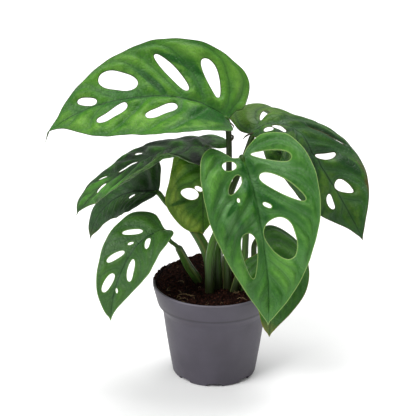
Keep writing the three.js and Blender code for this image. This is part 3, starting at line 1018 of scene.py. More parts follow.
@dataclass
class Blade:
    """One holed blade, its two skins and its margin."""

    leaf: Leaf
    outline_step: float = 1.5
    rim_step: float = 1.2
    cell: float = 1.7            # spacing of the blade's points
    row: float = 0.866           # of the spacing, between rows of points
    clear: float = 0.62          # of the spacing, between those and the lines
    half: float = 0.3            # half of the blade's thickness
    rim: float = 0.14            # half of its thickness at the margin
    bevel: float = 1.5           # width over which it gets thinner
    vein_reach: float = 4.0      # distance from a lateral over which the quilting rises
    rib_reach: float = 4.5       # the same from the midrib
    edge_reach: float = 3.0      # the same from the margin
    dent: tuple[float, float] = (0.6, 9.0)       # height and size of the dents
    furrow: tuple[float, float] = (0.8, 2.0)     # depth and reach of the midrib's furrow
    wave_reach: float = 8.0      # how far the margin's waves reach in
    ripples: tuple[float, float] = (6.1, 2.7)    # lengths of those waves, divided by a full turn
    short_waves: tuple[float, float] = (0.5, 1.7)    # strength and shift of the shorter ones
    vein_ridge: tuple[float, float] = (0.35, 0.9)     # height and reach of a lateral under the blade
    rib_ridge: tuple[float, float] = (1.1, 1.5)       # the same of the midrib, at the base
    rib_taper: float = 0.6       # how much of that it loses on its way to the tip
    sharp: float = 60.0          # angle between faces that shows as an edge
    apart: float = 300.0         # keeps the patterns of the leaves from being alike

    def __post_init__(self) -> None:
        """Draws the flat leaf and its veins."""
        leaf = self.leaf
        self.surface = LeafSurface(leaf)
        self.phase = 2.3 * len(leaf.name) + leaf.length    # sets the leaf's own waves and dents
        tip = (leaf.length, 0.0)
        left, right = (
            smooth_line(((0, 0), *half, tip), self.outline_step) for half in (leaf.left, leaf.right))
        drip = np.array(((leaf.length + leaf.drip, 0.0),))
        self.outline = np.vstack((left[:-2], drip, (right * (1, -1))[1:-2][::-1]))
        self.rims = [hole.outline(self.rim_step) for hole in leaf.holes]
        self.closed = [self.outline, *self.rims]
        self.veins = Veins(leaf, self.outline, self.rims)

    def in_leaf(self, flat: Points) -> Points:
        """Says which flat points lie inside the outline and outside every hole."""
        in_holes = sum((inside(flat, rim) for rim in self.rims), np.zeros(len(flat), bool))
        return inside(flat, self.outline) & ~in_holes

    def plan(self) -> tuple[Points, Points]:
        """Divides the flat blade along its veins, margin and holes.

        Returns:
            Flat points and triangles of their numbers.
        """
        columns = np.arange(0.0, self.leaf.length, self.cell)
        rib = np.stack((columns, 0 * columns), 1)
        lines = [rib, *(resampled(line, self.cell) for line in self.veins.lines)]
        fixed = np.vstack((*self.closed, *lines))
        edges, start = [], 0
        for k, line in enumerate((*self.closed, *lines)):
            count = len(line)
            edges += [(start + i, start + i + 1) for i in range(count - 1)]
            if k < len(self.closed):
                edges.append((start + count - 1, start))
            start += count
        (x_low, y_low), (x_high, y_high) = self.outline.min(0), self.outline.max(0)
        grid = np.array([(x + (j % 2) * self.cell / 2, y)
                         for j, y in enumerate(np.arange(y_low, y_high, self.cell * self.row))
                         for x in np.arange(x_low, x_high, self.cell)])
        grid = grid[self.in_leaf(grid)]
        first, second = np.array(edges).T
        grid = grid[nearest(grid, fixed[first], fixed[second]) > self.clear * self.cell]
        points = [Vector(p) for p in np.vstack((fixed, grid))]
        made, _, faces, *_ = geometry.delaunay_2d_cdt(points, edges, [], 0, 1e-4)
        flat = np.array([tuple(p) for p in made])
        faces = np.array([face for face in faces if len(face) == 3])
        faces = faces[self.in_leaf(flat[faces].mean(1))]
        used, numbers = np.unique(faces, return_inverse=True)
        return flat[used], numbers.reshape(faces.shape)

    def distances(self, flat: Points) -> tuple[Points, Points, Points]:
        """Measures how far points are from the laterals, the midrib and the margin.

        Veins get finer outwards, so a little is added to the distances there.

        Args:
            flat: Flat points.

        Returns:
            The three distances.
        """
        thin_vein, thin_rib = 1.1, 0.7
        lines = self.veins.lines
        starts, ends = np.vstack([line[:-1] for line in lines]), np.vstack([line[1:] for line in lines])
        thin = np.concatenate([thin_vein * np.linspace(0, 1, len(line) - 1) ** 2 for line in lines])
        vein = nearest(flat, starts, ends, thin)
        rib = np.hypot(flat[:, 1], np.maximum(flat[:, 0] - self.leaf.length, 0))
        rib += thin_rib * np.clip(flat[:, 0] / self.leaf.length, 0, 1) ** 2
        shifted = [np.roll(line, -1, 0) for line in self.closed]
        edge = nearest(flat, np.vstack(self.closed), np.vstack(shifted))
        return vein, rib, edge

    def marks(self, flat: Points, mark: Mark) -> Points:
        """Adds up what the leaf's patches do at flat points."""
        effects = (getattr(patch, mark.value) * patch.weight(flat) for patch in self.leaf.patches)
        return sum(effects, 0 * flat[:, 0])

    def relief(self, flat: Points, vein: Points, rib: Points, edge: Points) -> Points:
        """Raises the blade between its veins, dents it and waves its margin.

        Args:
            flat: Flat points.
            vein: Their distances from the laterals.
            rib: Their distances from the midrib.
            edge: Their distances from the margin.

        Returns:
            Their heights over the leaf's surface.
        """
        leaf, phase, half = self.leaf, self.phase, np.sign(flat[:, 1])
        (deep, size), (sunk, reach), (long, short) = self.dent, self.furrow, self.ripples
        strength, shift = self.short_waves
        dents = np.array([noise.noise(Vector((a / size, b / size, phase))) for a, b in flat])
        swell = leaf.quilt * (1 - bell(vein, self.vein_reach)) * (1 - bell(rib, self.rib_reach))
        swell += deep * dents - sunk * bell(rib, reach)
        swell *= 1 - bell(edge, self.edge_reach)
        swell += self.marks(flat, Mark.RISE)
        x = flat[:, 0]
        ripple = np.sin(x / long + phase + half) + strength * np.sin(x / short + shift * phase - half)
        return swell + leaf.wave * np.exp(-edge / self.wave_reach) * ripple

    def walls(self, faces: Points, count: int) -> list[tuple[int, ...]]:
        """Joins the upper and the lower skin along the margin and the holes.

        Args:
            faces: Triangles of the upper skin.
            count: How many points a skin has.

        Returns:
            The faces between the skins.
        """
        runs: dict[tuple[int, int], None] = {}
        for a, b, c in faces.tolist():
            for run in ((a, b), (b, c), (c, a)):
                if run[::-1] in runs:
                    del runs[run[::-1]]
                else:
                    runs[run] = None
        return [(b, a, a + count, b + count) for a, b in runs]

    def build(self) -> bpy.types.Object:
        """Makes the blade.

        Returns:
            The finished piece.
        """
        leaf = self.leaf
        flat, faces = self.plan()
        x, y = flat.T
        vein, rib, edge = self.distances(flat)
        middle = self.relief(flat, vein, rib, edge)
        thick = np.minimum(edge / self.bevel, 1)
        half = self.rim + (self.half - self.rim) * thick
        taper = 1 - self.rib_taper * np.clip(x / leaf.length, 0, 1)
        (vein_high, vein_wide), (rib_high, rib_wide) = self.vein_ridge, self.rib_ridge
        ridge = vein_high * bell(vein, vein_wide) + rib_high * taper * bell(rib, rib_wide * taper)
        top = self.surface.points(flat, middle + half)
        bottom = self.surface.points(flat, middle - half - ridge * thick)
        walls = self.walls(faces, len(flat))
        flipped = faces[:, ::-1] + len(flat)
        facets = [0] * len(faces) + [1] * len(faces) + [0] * len(walls)
        piece = make_piece(f"blade_{leaf.name}", np.vstack((top, bottom)),
                           [*faces.tolist(), *flipped.tolist(), *walls],
                           f"leaf_{leaf.name}", (leaf.finish.upper(), leaf.finish.lower()), facets)
        piece.data.set_sharp_from_angle(angle=math.radians(self.sharp))
        for name, values in (("vein_mm", vein), ("rib_mm", rib), ("edge_mm", edge),
                             *((mark.value, self.marks(flat, mark)) for mark in (Mark.SHADE, Mark.GLOW))):
            put_attribute(piece, name, np.tile(values, 2))
        place = np.stack((x + self.apart * self.phase, y, 0 * x), 1)
        put_attribute(piece, "flat_mm", np.tile(place, (2, 1)))
        return piece


@dataclass
class Petiole:
    """One petiole: a sheath that clasps its neighbours, then a thin round stalk.

    Reaches of the groove, lip and channel are angles round the stalk, in radians.
    """

    leaf: Leaf
    surface: LeafSurface
    material: bpy.types.Material
    sides: int = 28
    step: float = 1.3
    sheath_fade: float = 0.035                   # of the petiole's length, where the sheath ends
    knee: tuple[float, float] = (0.93, 0.07)     # where the stalk starts to thin, and over how much
    groove: tuple[float, float] = (0.3, 0.45)    # depth, of the radius, and reach of the sheath's groove
    lip: tuple[float, float] = (0.16, 0.16)      # height and reach of the lips beside it
    lip_at: float = 0.75
    lip_pale: float = 0.2                        # reach of their paler colour
    channel: tuple[float, float] = (0.12, 0.5)   # depth and reach of the stalk's channel
    opening: tuple[float, float, float] = (6, 0, 0)    # what the grooves turn to
    narrowing: float = 0.5                       # how near the sheath's top comes to the stalk's radius
    taper: tuple[float, float] = (1.06, 0.08)    # the stalk's radius at its foot, and what it loses
    shoulder: float = 0.6                        # how suddenly the sheath ends
    thinned: float = 0.6                         # how much thinner the stalk ends under the blade
    under_rib: tuple = (0.0, 5.0, 11.0)          # where it ends, along the midrib
    gaps: tuple = (0.3, 0.3, 0.1)                # and how far below the blade
    half_thick: float = 0.45                     # of its radius there, from its skin to its middle
    apart: float = 40.0                          # keeps the streaks of the stalks from being alike

    def centre_line(self) -> Points:
        """Draws the route up to the blade and on under its midrib.

        Returns:
            Evenly spaced points.
        """
        flat = np.array([(x, 0.0) for x in self.under_rib])
        ends = self.surface.points(flat, -self.half_thick * self.leaf.top - np.array(self.gaps))
        return smooth_line(np.vstack((self.leaf.route, ends)), self.step, True)

    def radii(self, t: Points) -> tuple[Points, Points]:
        """Gives the stalk's radius, and how much of it is sheath, at each place.

        Args:
            t: Fraction of the way from foot to blade.

        Returns:
            Radius in millimetres, and 1 in the sheath falling to 0 above it.
        """
        leaf = self.leaf
        sheath = np.clip((leaf.sheath_end - t) / self.sheath_fade, 0, 1)
        wide = leaf.foot + (leaf.top - leaf.foot) * self.narrowing * np.clip(t / leaf.sheath_end, 0, 1)
        thin = leaf.top * (self.taper[0] - self.taper[1] * t)
        radius = thin + (wide - thin) * sheath**self.shoulder
        under_blade = np.clip((t - self.knee[0]) / self.knee[1], 0, 1)
        return radius * (1 - self.thinned * under_blade), sheath

    def build(self) -> bpy.types.Object:
        """Makes the petiole.

        Returns:
            The finished piece.
        """
        line = self.centre_line()
        ways, count, n = directions(line), self.sides, len(line)
        t = np.linspace(0, 1, n)
        radius, sheath = self.radii(t)
        inward = -line[n // 4] * (1, 1, 0) + self.opening
        side = inward - ways[0] * (inward @ ways[0])
        turns = full_turn(count)
        off = np.abs((turns + np.pi) % (2 * np.pi) - np.pi)
        rings, rims, marks = [], [], []
        for k, (place, way) in enumerate(zip(line, ways)):
            side = side - way * (side @ way)
            side = side / np.linalg.norm(side)
            across = np.cross(way, side)
            dip = self.groove[0] * sheath[k] * bell(off, self.groove[1])
            lip = self.lip[0] * sheath[k] * bell(off - self.lip_at, self.lip[1])
            channel = self.channel[0] * (1 - sheath[k]) * bell(off, self.channel[1])
            reach = radius[k] * (1 - dip + lip - channel)
            out = np.cos(turns)[:, None] * side + np.sin(turns)[:, None] * across
            rings.append(place + reach[:, None] * out)
            rims.append(bell(off - self.lip_at, self.lip_pale) * sheath[k])
            round_stalk = turns * radius[k] + self.apart * radius[0]
            marks.append(np.stack((round_stalk, 0 * turns + k * self.step, 0 * turns + t[k]), 1))
        faces = [*tube(0, n, count), tuple(range(count))[::-1], tuple(range((n - 1) * count, n * count))]
        piece = make_piece(f"stalk_{self.leaf.name}", np.vstack(rings), faces,
                           f"petiole_{self.leaf.name}", (self.material,))
        put_attribute(piece, "rim", np.concatenate(rims))
        put_attribute(piece, "fresh", np.full(count * n, self.leaf.fresh))
        put_attribute(piece, "stalk", np.vstack(marks))
        return piece


# The palettes are partly lit and shaded copies of one skin: BRIGHT is painted lighter for the lit top leaf,
# and SHADED, SOFT, DARK and the left leaf's palette are painted darker with shade for leaves that lie in
# shade, the left leaf's also with a painted grey sheen in its troughs.
BRIGHT = WaxyLeaf("bright")
# The front leaf's pale margin colour is a painted highlight where its rim catches light.
FRONT = WaxyLeaf("front", lamina="#376b22", bulge="#5f9438", trough="#4f7c42", crease="#1e5216",
                 blotch="#174f10", margin="#87a05c")
OLIVE = WaxyLeaf("olive", lamina="#285313", bulge="#4c701f", trough="#3c5e3a", crease="#0d2a0b",
                 blotch="#133b0f", margin="#463f18")
SHADED_SHEEN = WaxyLeaf("shaded_sheen", lamina="#18400c", bulge="#4f8c2c", trough="#33492f", crease="#0c1c0b",
                  blotch="#10270e", margin="#52602c")
DARK = WaxyLeaf("dark", lamina="#204815", bulge="#3a6422", trough="#2f4c2c", crease="#101e0d",
                blotch="#13280f", margin="#46531f")
SOFT = WaxyLeaf("soft", lamina="#3a6324", bulge="#4e7a2f", trough="#44673d", crease="#1c3d18",
                blotch="#2b5419", margin="#6d8a48")
SHADED = WaxyLeaf("shaded", lamina="#2e5c15", bulge="#4b7b24", trough="#395f2f", crease="#163a10",
                  blotch="#1b470e", margin="#6c692c")
YOUNG = WaxyLeaf("young", lamina="#558822", bulge="#90ac40", trough="#3c6a1c", crease="#1b3f10",
                 blotch="#356012", margin="#8d9440", under="#678330")

LEAVES = (
    Leaf(
        "top", BRIGHT, base=(13, 0, 260), length=184,
        heading=(188, 183, 180, 174), pitch=(44, 5, -16, -42), roll=(-21, -35, -44, -46),
        fold=((13, 4, -1), (18, 8, 0)), curl=(-17, -14),
        left=((-2, 9), (-3, 20), (4, 37), (24, 57), (59, 58), (98, 46), (138, 32), (168, 7)),
        right=((-3, 13), (-9, 25), (-1, 49), (24, 58), (59, 58), (97, 47), (137, 27.5), (167, 8.5)),
        holes=(Hole(137, -7, 18.5, 8, -23), Hole(106, -18.5, 35, 18, -21, -0.1),
               Hole(59.5, -24.5, 43, 9.6, -48), Hole(27, -29.5, 36, 12, 123, 0.26),
               Hole(116.5, 12, 33, 12.5, 19, 0.2, 0.3, 0.05), Hole(68.7, 18, 33, 14.5, 25, 0, 0.22, 0.05)),
        route=((12.8, -10, 74), (13, -10, 92), (12.8, -3, 140), (13.7, 5, 195), (13.7, 5, 235)),
        foot=4.0, top=2.9, sheath_end=0.4, drip=9.0,
        patches=(Patch(22, 20, 56, 30, 20, shade=1.3), Patch(14, 0, 40, 16, shade=0.5),
                 Patch(103, -5, 46, 9, -12, glow=-0.9), Patch(40, -23, 26, 10, -63, glow=-0.9),
                 Patch(77, -14, 38, 5, -45, shade=1.5), Patch(58, -36, 40, 6, -23, shade=1.1),
                 Patch(104, 2, 48, 5, 1, shade=1.0),
                 Patch(46, -33, 26, 7, -34, rise=-1, shade=0.9), Patch(76, -14, 40, 6, -50, shade=0.7),
                 Patch(152, 12, 40, 20, -44, glow=0.4), Patch(94, 26, 34, 16, -37, glow=0.4),
                 Patch(106, -44, 44, 16, -33, glow=0.4), Patch(10, -42, 50, 22, -52, glow=0.35),
                 Patch(50, -48, 30, 14, -9, glow=0.4))),
    Leaf(
        "front", FRONT, base=(25, -36, 235), length=160,
        heading=(-61, -66, -64, -73), pitch=(-38, -64, -75, -98), roll=(7, 4, 11, 21),
        fold=((24, 21, 17), (19, 17, 13)), curl=(-14, 0),
        left=((-8, 10), (-12, 27), (1, 47), (21, 57), (51, 58), (85, 48), (119, 29), (146, 9)),
        right=((0, 11), (-4, 16), (-10, 23), (-12, 32), (0, 47), (21, 56), (51, 57), (85, 45),
               (119, 26), (146, 9)),
        holes=(Hole(9, 25, 37, 8, 244, 0.5), Hole(36.5, 26.5, 45.5, 11.5, 51, 0.24),
               Hole(49, 9, 8.5, 3.6, 55), Hole(80.5, 17.2, 38.5, 26, 20, 0.22),
               Hole(91.5, -16, 41, 15.5, 3, 0.5), Hole(41, -20.3, 4, 3, -15),
               Hole(26.7, -19.5, 24.5, 8.8, -49, 0.2), Hole(8.5, -19, 16.5, 9, -80)),
        route=((19.5, -15, 74), (19.5, -16, 92), (28.2, -14, 122), (29.6, -15, 142), (29.8, -19, 170),
               (28.5, -26, 205)),
        foot=3.7, top=3.2, sheath_end=0.35, quilt=4.2,
        patches=(Patch(22, -2, 42, 16, -10, shade=1.6), Patch(52, -36, 34, 16, 10, glow=-1.0),
                 Patch(70, -22, 40, 9, 12, shade=0.9), Patch(95, 30, 44, 14, 18, glow=-0.6),
                 Patch(48, -30, 20, 4, -51, rise=-1, shade=1.7), Patch(48, 12, 44, 8, 50, shade=1.2),
                 Patch(50, 1, 56, 12, 6, shade=1.2), Patch(16, 26, 34, 14, 58, glow=-0.9),
                 Patch(66, -6, 34, 9, 20, glow=-0.7), Patch(55, -30, 30, 12, 22, glow=-0.7),
                 Patch(34, 22, 26, 9, 58, glow=-0.5), Patch(13, -44, 38, 16, -16, glow=0.5),
                 Patch(120, -30, 50, 16, 12, glow=0.5), Patch(78, -50, 32, 12, 20, glow=0.6),
                 Patch(105, 14, 40, 22, 19, glow=0.7),
                 Patch(88, -8, 30, 12, 34, shade=0.8))),
    Leaf(
        "right", OLIVE, base=(35.4, 21.3, 238), length=171,
        heading=(20, -12, -27, -40), pitch=(49, -48, -54, -55), roll=(6, 7, 40, 81),
        fold=((31, 20.5, 10.5, 18, 18.5, 13, 8, 3, -1), (3, -5, 9)), curl=(46, 17),
        left=((-4, 12), (-2, 26), (2, 48), (19, 66), (54, 70), (90, 54), (128, 32), (157, 11)),
        right=((0, 6), (1, 14), (-4, 28), (-10, 43), (-6, 58), (14, 67), (43, 65), (85, 43),
               (129, 27), (157, 8)),
        holes=(Hole(19.3, 16.2, 20, 4.4, 243, 0.3), Hole(71.5, 31.5, 38, 1.8, 33),
               Hole(84, 11.5, 24, 6, 66, 0, 0, -0.09), Hole(119.5, 8.3, 19.5, 10, 33, 0.5),
               Hole(17, -12, 11, 8, 0), Hole(30, -10, 17, 8.5, -30),
               Hole(125, -9.7, 15.5, 6, -11, 0, 0, -0.08)),
        route=((-4.5, -18, 74), (-4.5, -18, 92), (-4.5, -15, 124), (0.3, -13, 148), (14.5, -6, 186),
               (28.5, 9, 219)),
        foot=4.6, top=2.9, sheath_end=0.4,
        # Along the right leaf's narrow slit the blade is raised at one side and painted dark with shade.
        patches=(Patch(10, 28, 54, 38, -79, glow=1.3), Patch(71.5, 31.5, 52, 11, 33, shade=2.4),
                 Patch(73.7, 28, 44, 7, 33, rise=2.5), Patch(112, -2, 40, 18, glow=0.4),
                 Patch(80, 8, 38, 11, 67, rise=-1.5, shade=1.9), Patch(104, 26, 38, 12, 24, shade=1.5),
                 Patch(82, -13, 38, 15, -6, shade=1.8), Patch(53, -4, 36, 7, 28, rise=1, glow=-0.9),
                 Patch(33, -16, 24, 7, 30, shade=2.2), Patch(32, 27, 18, 14, rise=-3),
                 Patch(56, 38, 26, 16, 33, rise=2), Patch(20, 8, 36, 5, 7, glow=-0.6),
                 Patch(126, 33, 50, 9, -18, shade=-1.1), Patch(128, -4, 34, 18, 6, glow=0.3))),
    Leaf(
        "left", SHADED_SHEEN, base=(-5, 2, 232), length=155,
        heading=(156, 180, 176, 179), pitch=(6, -24, -37, -58), roll=(-4, -8, -15, -31),
        fold=((-25, -11, -12, -9, -7), (-4, -8, -3, 1, 5)), curl=(-60, 14),
        left=((-12, 7), (-15, 24), (-4, 47), (19, 49), (50, 48), (83, 44), (115, 25), (140, 6)),
        right=((-9, 5), (-13, 19), (-3, 36), (20, 46), (50, 49), (84, 43), (115, 23.5), (145, 12.5)),
        holes=(Hole(72.7, -22.2, 9.5, 4.8, -45), Hole(84, -2.2, 21, 3.2, 2),
               Hole(113.7, -11.8, 10, 1.8, -16), Hole(117, 2.2, 13.5, 3, 5)),
        route=((3.2, -7, 74), (3.2, -7, 92), (3, -4, 125), (2.5, 2, 163), (0, 4, 205)),
        foot=5.2, top=2.1, sheath_end=0.36, quilt=3.0,
        patches=(Patch(16, -14, 30, 12, -20, shade=1.6), Patch(50, -33, 60, 28, -34, shade=1.4),
                 Patch(76, -22, 44, 14, 27, shade=1.3), Patch(124, 0, 50, 20, -14, glow=0.7),
                 Patch(58, 46, 44, 14, 9, glow=0.7),
                 Patch(98, 32, 50, 16, -26, glow=0.8), Patch(12, -6, 40, 5, -34, rise=1.5, glow=-0.9),
                 Patch(-3, 34, 50, 16, -52, shade=1.2), Patch(40, -44, 50, 14, rise=-1.5))),
    Leaf(
        "left_back", DARK, base=(-55, 38, 173), length=100,
        heading=(143, 164, 187, 213), pitch=(-2, -19, -49, -79), roll=(-35, -27, -19, -21),
        fold=((35, 7, -17), (40, 9, -16)), curl=(35, 14),
        left=((-3, 6), (-4, 14), (1, 26), (13, 32), (32, 32), (53, 26), (74, 15), (91, 6)),
        right=((-1, 7), (0, 16), (2, 26), (10, 33), (27, 28), (46, 22), (68, 18), (91, 6)),
        holes=(Hole(27, 9.5, 8, 3, 54),),
        route=((-2.5, 9, 74), (-3, 9, 92), (-6.5, 15, 116), (-20, 26, 138), (-34, 34, 150), (-47, 40, 161)),
        foot=6.2, top=2.7, sheath_end=0.62, fresh=0.8,
        patches=(Patch(27, -16, 36, 20, 15, shade=0.6), Patch(24, 13, 56, 15, -4, glow=0.8),
                 Patch(16, -21, 24, 12, -39, glow=0.4),
                 Patch(97, 0, 12, 12, shade=-0.9))),
    Leaf(
        "low", SOFT, base=(-47, -22, 158), length=108,
        heading=(205, 211, 218, 226), pitch=(2, -45, -67, -86), roll=(-4, -20, -35, -49),
        fold=((17, 11, 9), (16, 12, 13)), curl=(15, 13),
        left=((-3, 5), (-3, 13), (2, 24), (14, 31), (35, 32), (57, 26), (80, 15), (98, 4.5)),
        right=((0, 8), (-0.5, 13), (1, 25), (14, 34), (34, 31), (57, 25), (81.5, 17), (100, 7)),
        holes=(Hole(25, -14, 18, 5.4, -45), Hole(33.8, -6, 5.6, 2.4, -34), Hole(50.4, -11.4, 18.5, 5.6, -36),
               Hole(74, -8, 18.5, 7.2, -14), Hole(23.6, 9.4, 13.5, 5.8, 47), Hole(55, 9, 22, 7, 14),
               Hole(79, 2, 5, 2, 15)),
        route=((-14.5, 7, 74), (-16, 5, 92), (-25.5, -2, 112), (-34.5, -12, 135), (-42, -18, 145)),
        foot=5.0, top=2.0, sheath_end=0.66, fresh=0.4,
        patches=(Patch(72, -10, 26, 18, 33, glow=0.6), Patch(26, 5, 30, 14, 19, shade=0.9),
                 Patch(60, 0, 50, 8, 4, shade=0.7))),
    Leaf(
        "centre", YOUNG, base=(-11, 32, 214), length=78,
        heading=(-90, -90, -86, -82), pitch=(-60, -80, -86, -88), roll=(0, 2, 4, 6),
        fold=((-15, -15, -10), (0, 2, 4)), curl=(0, 25),
        left=((-3, 4), (-3, 9), (2, 13), (14, 16), (30, 17), (46, 16), (61, 12), (72, 6)),
        right=((-3, 6), (-4, 14), (-1, 27), (11, 30.5), (27, 33.5), (46, 37.5), (61, 30.5), (75, 16)),
        holes=(Hole(38.2, -12.9, 17.5, 8.8, 79, -0.15, -0.3), Hole(33, -4, 8.2, 4.2, 65)),
        route=((7, 12, 74), (7, 12, 92), (5, 21, 130), (1, 32, 170), (-5, 39, 198)),
        foot=3.2, top=1.9, sheath_end=0.4,
        patches=(Patch(54, -26, 30, 16, 32, glow=0.8), Patch(50, -5, 28, 14, 52, glow=-0.6),
                 Patch(69, -12, 24, 14, 62, glow=0.9), Patch(32, -30, 34, 9, 12, glow=0.9),
                 Patch(10, -7, 24, 20, 35, shade=1.2), Patch(12, -25, 26, 12, 10, glow=0.4),
                 Patch(45, -18, 32, 4, -67, shade=1.7))),
    Leaf(
        "under", SHADED, base=(44, -20, 152), length=102,
        heading=(-57, -79, -105, -116), pitch=(-21, -49, -66, -86), roll=(17, 1, -11, -28),
        fold=((-10, 1, 10), (-13, 1, 15)), curl=(38, 27),
        left=((-7, 5), (-9, 17), (0, 27), (14, 37), (33, 39), (56, 32), (77, 19), (94, 6)),
        right=((8, 3), (16, 8), (20, 15), (21, 22), (28, 29), (40, 31), (56, 26), (75, 14), (93, 7)),
        holes=(),
        route=((27.5, -12, 74), (27.5, -13, 92), (34.5, -12, 108), (37.7, -12, 124), (38.3, -13, 139)),
        foot=3.4, top=2.8, sheath_end=0.4,
        patches=(Patch(96, -2, 22, 16, 55, shade=-0.8), Patch(38, 14, 34, 30, 60, shade=0.6),
                 Patch(74, -12, 18, 14, 32, glow=0.4))),
)


# ---------------------------------------------------------------- soil and dry remnants


@dataclass
class Soil:
    """The peat in the pot, with loose crumbs and fibres on it."""

    level: float = 90.5
    rim: float = 60.0
    dish: float = 2.5                                              # how much higher it lies at that radius
    heap: tuple[float, float, float, float] = (7.5, -16, 46, 21)   # height, x, y and spread
    lumps: tuple[float, float] = (1.6, 9.0)                        # height and size
    lump_detail: tuple[float, float, int] = (0.8, 2.1, 4)          # fading, fineness and number of layers
    grit: tuple[float, float] = (0.9, 1.9)
    slices: tuple[float, float] = (3.0, 9.0)                       # of the noise, for lumps and grit
    edge: float = 56.6
    sides: tuple = ((53.5, 75.4), (48.5, 67.0), (47.5, 60.0))      # radius and height down the wall
    rings: int = 90
    turns: int = 220
    crumbs: int = 2600
    clear: float = 1.5                                             # from the wall to where things lie
    crowding: float = 0.9                                          # below 1, they gather by the wall
    crumb_size: tuple[float, float] = (0.45, 1.1)                  # the least, and what the largest adds
    crumb_stretch: tuple = ((0.6, 0.6, 0.4), (1.5, 1.0, 0.8))
    crumb_lumps: tuple[float, float] = (0.75, 1.2)
    crumb_lift: float = 0.3                                        # of its size
    spilt: int = 320
    lip: tuple[float, float, float] = (57.2, 59.6, 95.5)           # inner and outer radius, and height
    spill_turn: tuple[float, float] = (0.45 * np.pi, 0.99 * np.pi)
    fibres: int = 30
    fibre_sides: int = 5
    fibre_steps: int = 8
    fibre_length: tuple[float, float] = (3, 11)
    fibre_radius: tuple[float, float] = (0.12, 0.28)
    fibre_bend: float = 0.35                                       # usual turn between two steps
    fibre_rise: float = 0.35                                       # most that it rises in a step
    wall_gap: float = 0.5                                          # from the wall to where a fibre ends
    float_up: float = 0.4                                          # of a fibre's middle line, over the soil
    root_radius: float = 0.42
    root_lift: float = 0.9
    root_step: float = 0.8
    roots: tuple = (((-36, -36), (-33, -29), (-26, -27), (-20, -30), (-19, -37)),
                    ((-34, -38), (-28, -34), (-25, -37)),
                    ((21, -38), (26, -35), (31, -37)))

    def height(self, x: float, y: float) -> float:
        """Gives the soil's height at a place, with its lumps.

        Args:
            x: Place to the right of the middle.
            y: Place behind the middle.

        Returns:
            Height in millimetres.
        """
        rise, hx, hy, spread = self.heap
        away = (x - hx) ** 2 + (y - hy) ** 2
        dished = self.dish * (x * x + y * y) / self.rim**2
        smooth = self.level + dished + rise * math.exp(-away / (2 * spread**2))
        (lump_high, lump_size), (grit_high, grit_size) = self.lumps, self.grit
        lump_slice, grit_slice = self.slices
        lumps = lump_high * noise.fractal(Vector((x, y, lump_slice)) / lump_size, *self.lump_detail)
        grit = grit_high * noise.noise(Vector((x, y, grit_slice)) / grit_size)
        return smooth + lumps + grit

    def build_bed(self) -> bpy.types.Object:
        """Makes the soil's lumpy surface with closed sides and bottom.

        Returns:
            The finished piece.
        """
        vertices, n, loops = [(0.0, 0.0, self.height(0, 0))], self.turns, self.rings + len(self.sides)
        for ring in range(1, self.rings + 1):
            radius = self.edge * ring / self.rings
            for turn in full_turn(n):
                x, y = radius * math.cos(turn), radius * math.sin(turn)
                vertices.append((x, y, self.height(x, y)))
        for reach, low in self.sides:
            vertices += [(reach * math.cos(turn), reach * math.sin(turn), low) for turn in full_turn(n)]
        faces = [(0, 1 + j, 1 + (j + 1) % n) for j in range(n)]
        faces += [(a, d, c, b) for a, b, c, d in tube(1, loops, n)]
        faces.append(tuple(range(1 + (loops - 1) * n, 1 + loops * n))[::-1])
        return make_piece("peat_bed", vertices, faces, "potting_soil", (Peat("bed").material(),))

    def scatter(self, rng: np.random.Generator, count: int) -> Points:
        """Draws places on the soil, denser towards the wall.

        Args:
            rng: Source of the draws.
            count: How many.

        Returns:
            Places in millimetres, on the surface.
        """
        radius = (self.edge - self.clear) * np.sqrt(rng.random(count)) ** self.crowding
        turn = rng.random(count) * 2 * np.pi
        places = zip(radius * np.cos(turn), radius * np.sin(turn))
        return np.array([(x, y, self.height(x, y)) for x, y in places])

    def spill(self, rng: np.random.Generator) -> Points:
        """Draws places on the pot's lip, behind and to the left, where soil was spilt in filling it.

        Args:
            rng: Source of the draws.

        Returns:
            Places in millimetres.
        """
        inner, outer, top = self.lip
        radius = rng.uniform(inner, outer, self.spilt)
        turn = rng.uniform(*self.spill_turn, self.spilt)
        return np.stack((radius * np.cos(turn), radius * np.sin(turn), np.full(self.spilt, top)), axis=1)

    def build_crumbs(self, rng: np.random.Generator) -> bpy.types.Object:
        """Makes the loose crumbs and chips.

        Args:
            rng: Source of the draws.

        Returns:
            The finished piece.
        """
        ball = bmesh.new()
        bmesh.ops.create_icosphere(ball, subdivisions=1, radius=1)
        shape = np.array([v.co[:] for v in ball.verts])
        triangles = np.array([[v.index for v in f.verts] for f in ball.faces])
        ball.free()
        least, more = self.crumb_size
        vertices, faces = [], []
        for k, place in enumerate(np.vstack((self.scatter(rng, self.crumbs), self.spill(rng)))):
            size = least + more * rng.random() ** 3
            stretch = rng.uniform(*self.crumb_stretch)
            turn = np.linalg.qr(rng.normal(size=(3, 3)))[0]
            lumpy = shape * rng.uniform(*self.crumb_lumps, (len(shape), 1))
            vertices.append((lumpy * stretch) @ turn * size + place + (0, 0, self.crumb_lift * size))
            faces.append(triangles + k * len(shape))
        return make_piece("peat_crumbs", np.vstack(vertices), np.vstack(faces).tolist(), None,
                          (Peat("crumbs", crumb="#3c1f15", dry="#7a5240").material(),))

    def fibre(self, place: Points, rng: np.random.Generator) -> tuple[Points, float]:
        """Draws one fibre that lies on the soil or stands up a little.

        Args:
            place: Where it starts.
            rng: Source of the draws.

        Returns:
            Its middle line, as far as it stays inside the pot, and its radius.
        """
        length, thick = rng.uniform(*self.fibre_length), rng.uniform(*self.fibre_radius)
        turn, bend = rng.uniform(0, 2 * np.pi), rng.normal(0, self.fibre_bend)
        rise = rng.uniform(0, self.fibre_rise)
        line = [place + (0, 0, self.float_up)]
        for _ in range(self.fibre_steps):
            turn += bend
            spot = line[-1] + length / self.fibre_steps * np.array((math.cos(turn), math.sin(turn), 0))
            if math.hypot(spot[0], spot[1]) > self.edge - self.wall_gap:
                break
            spot[2] = self.height(spot[0], spot[1]) + self.float_up + rise * len(line)
            line.append(spot)
        return np.array(line), thick

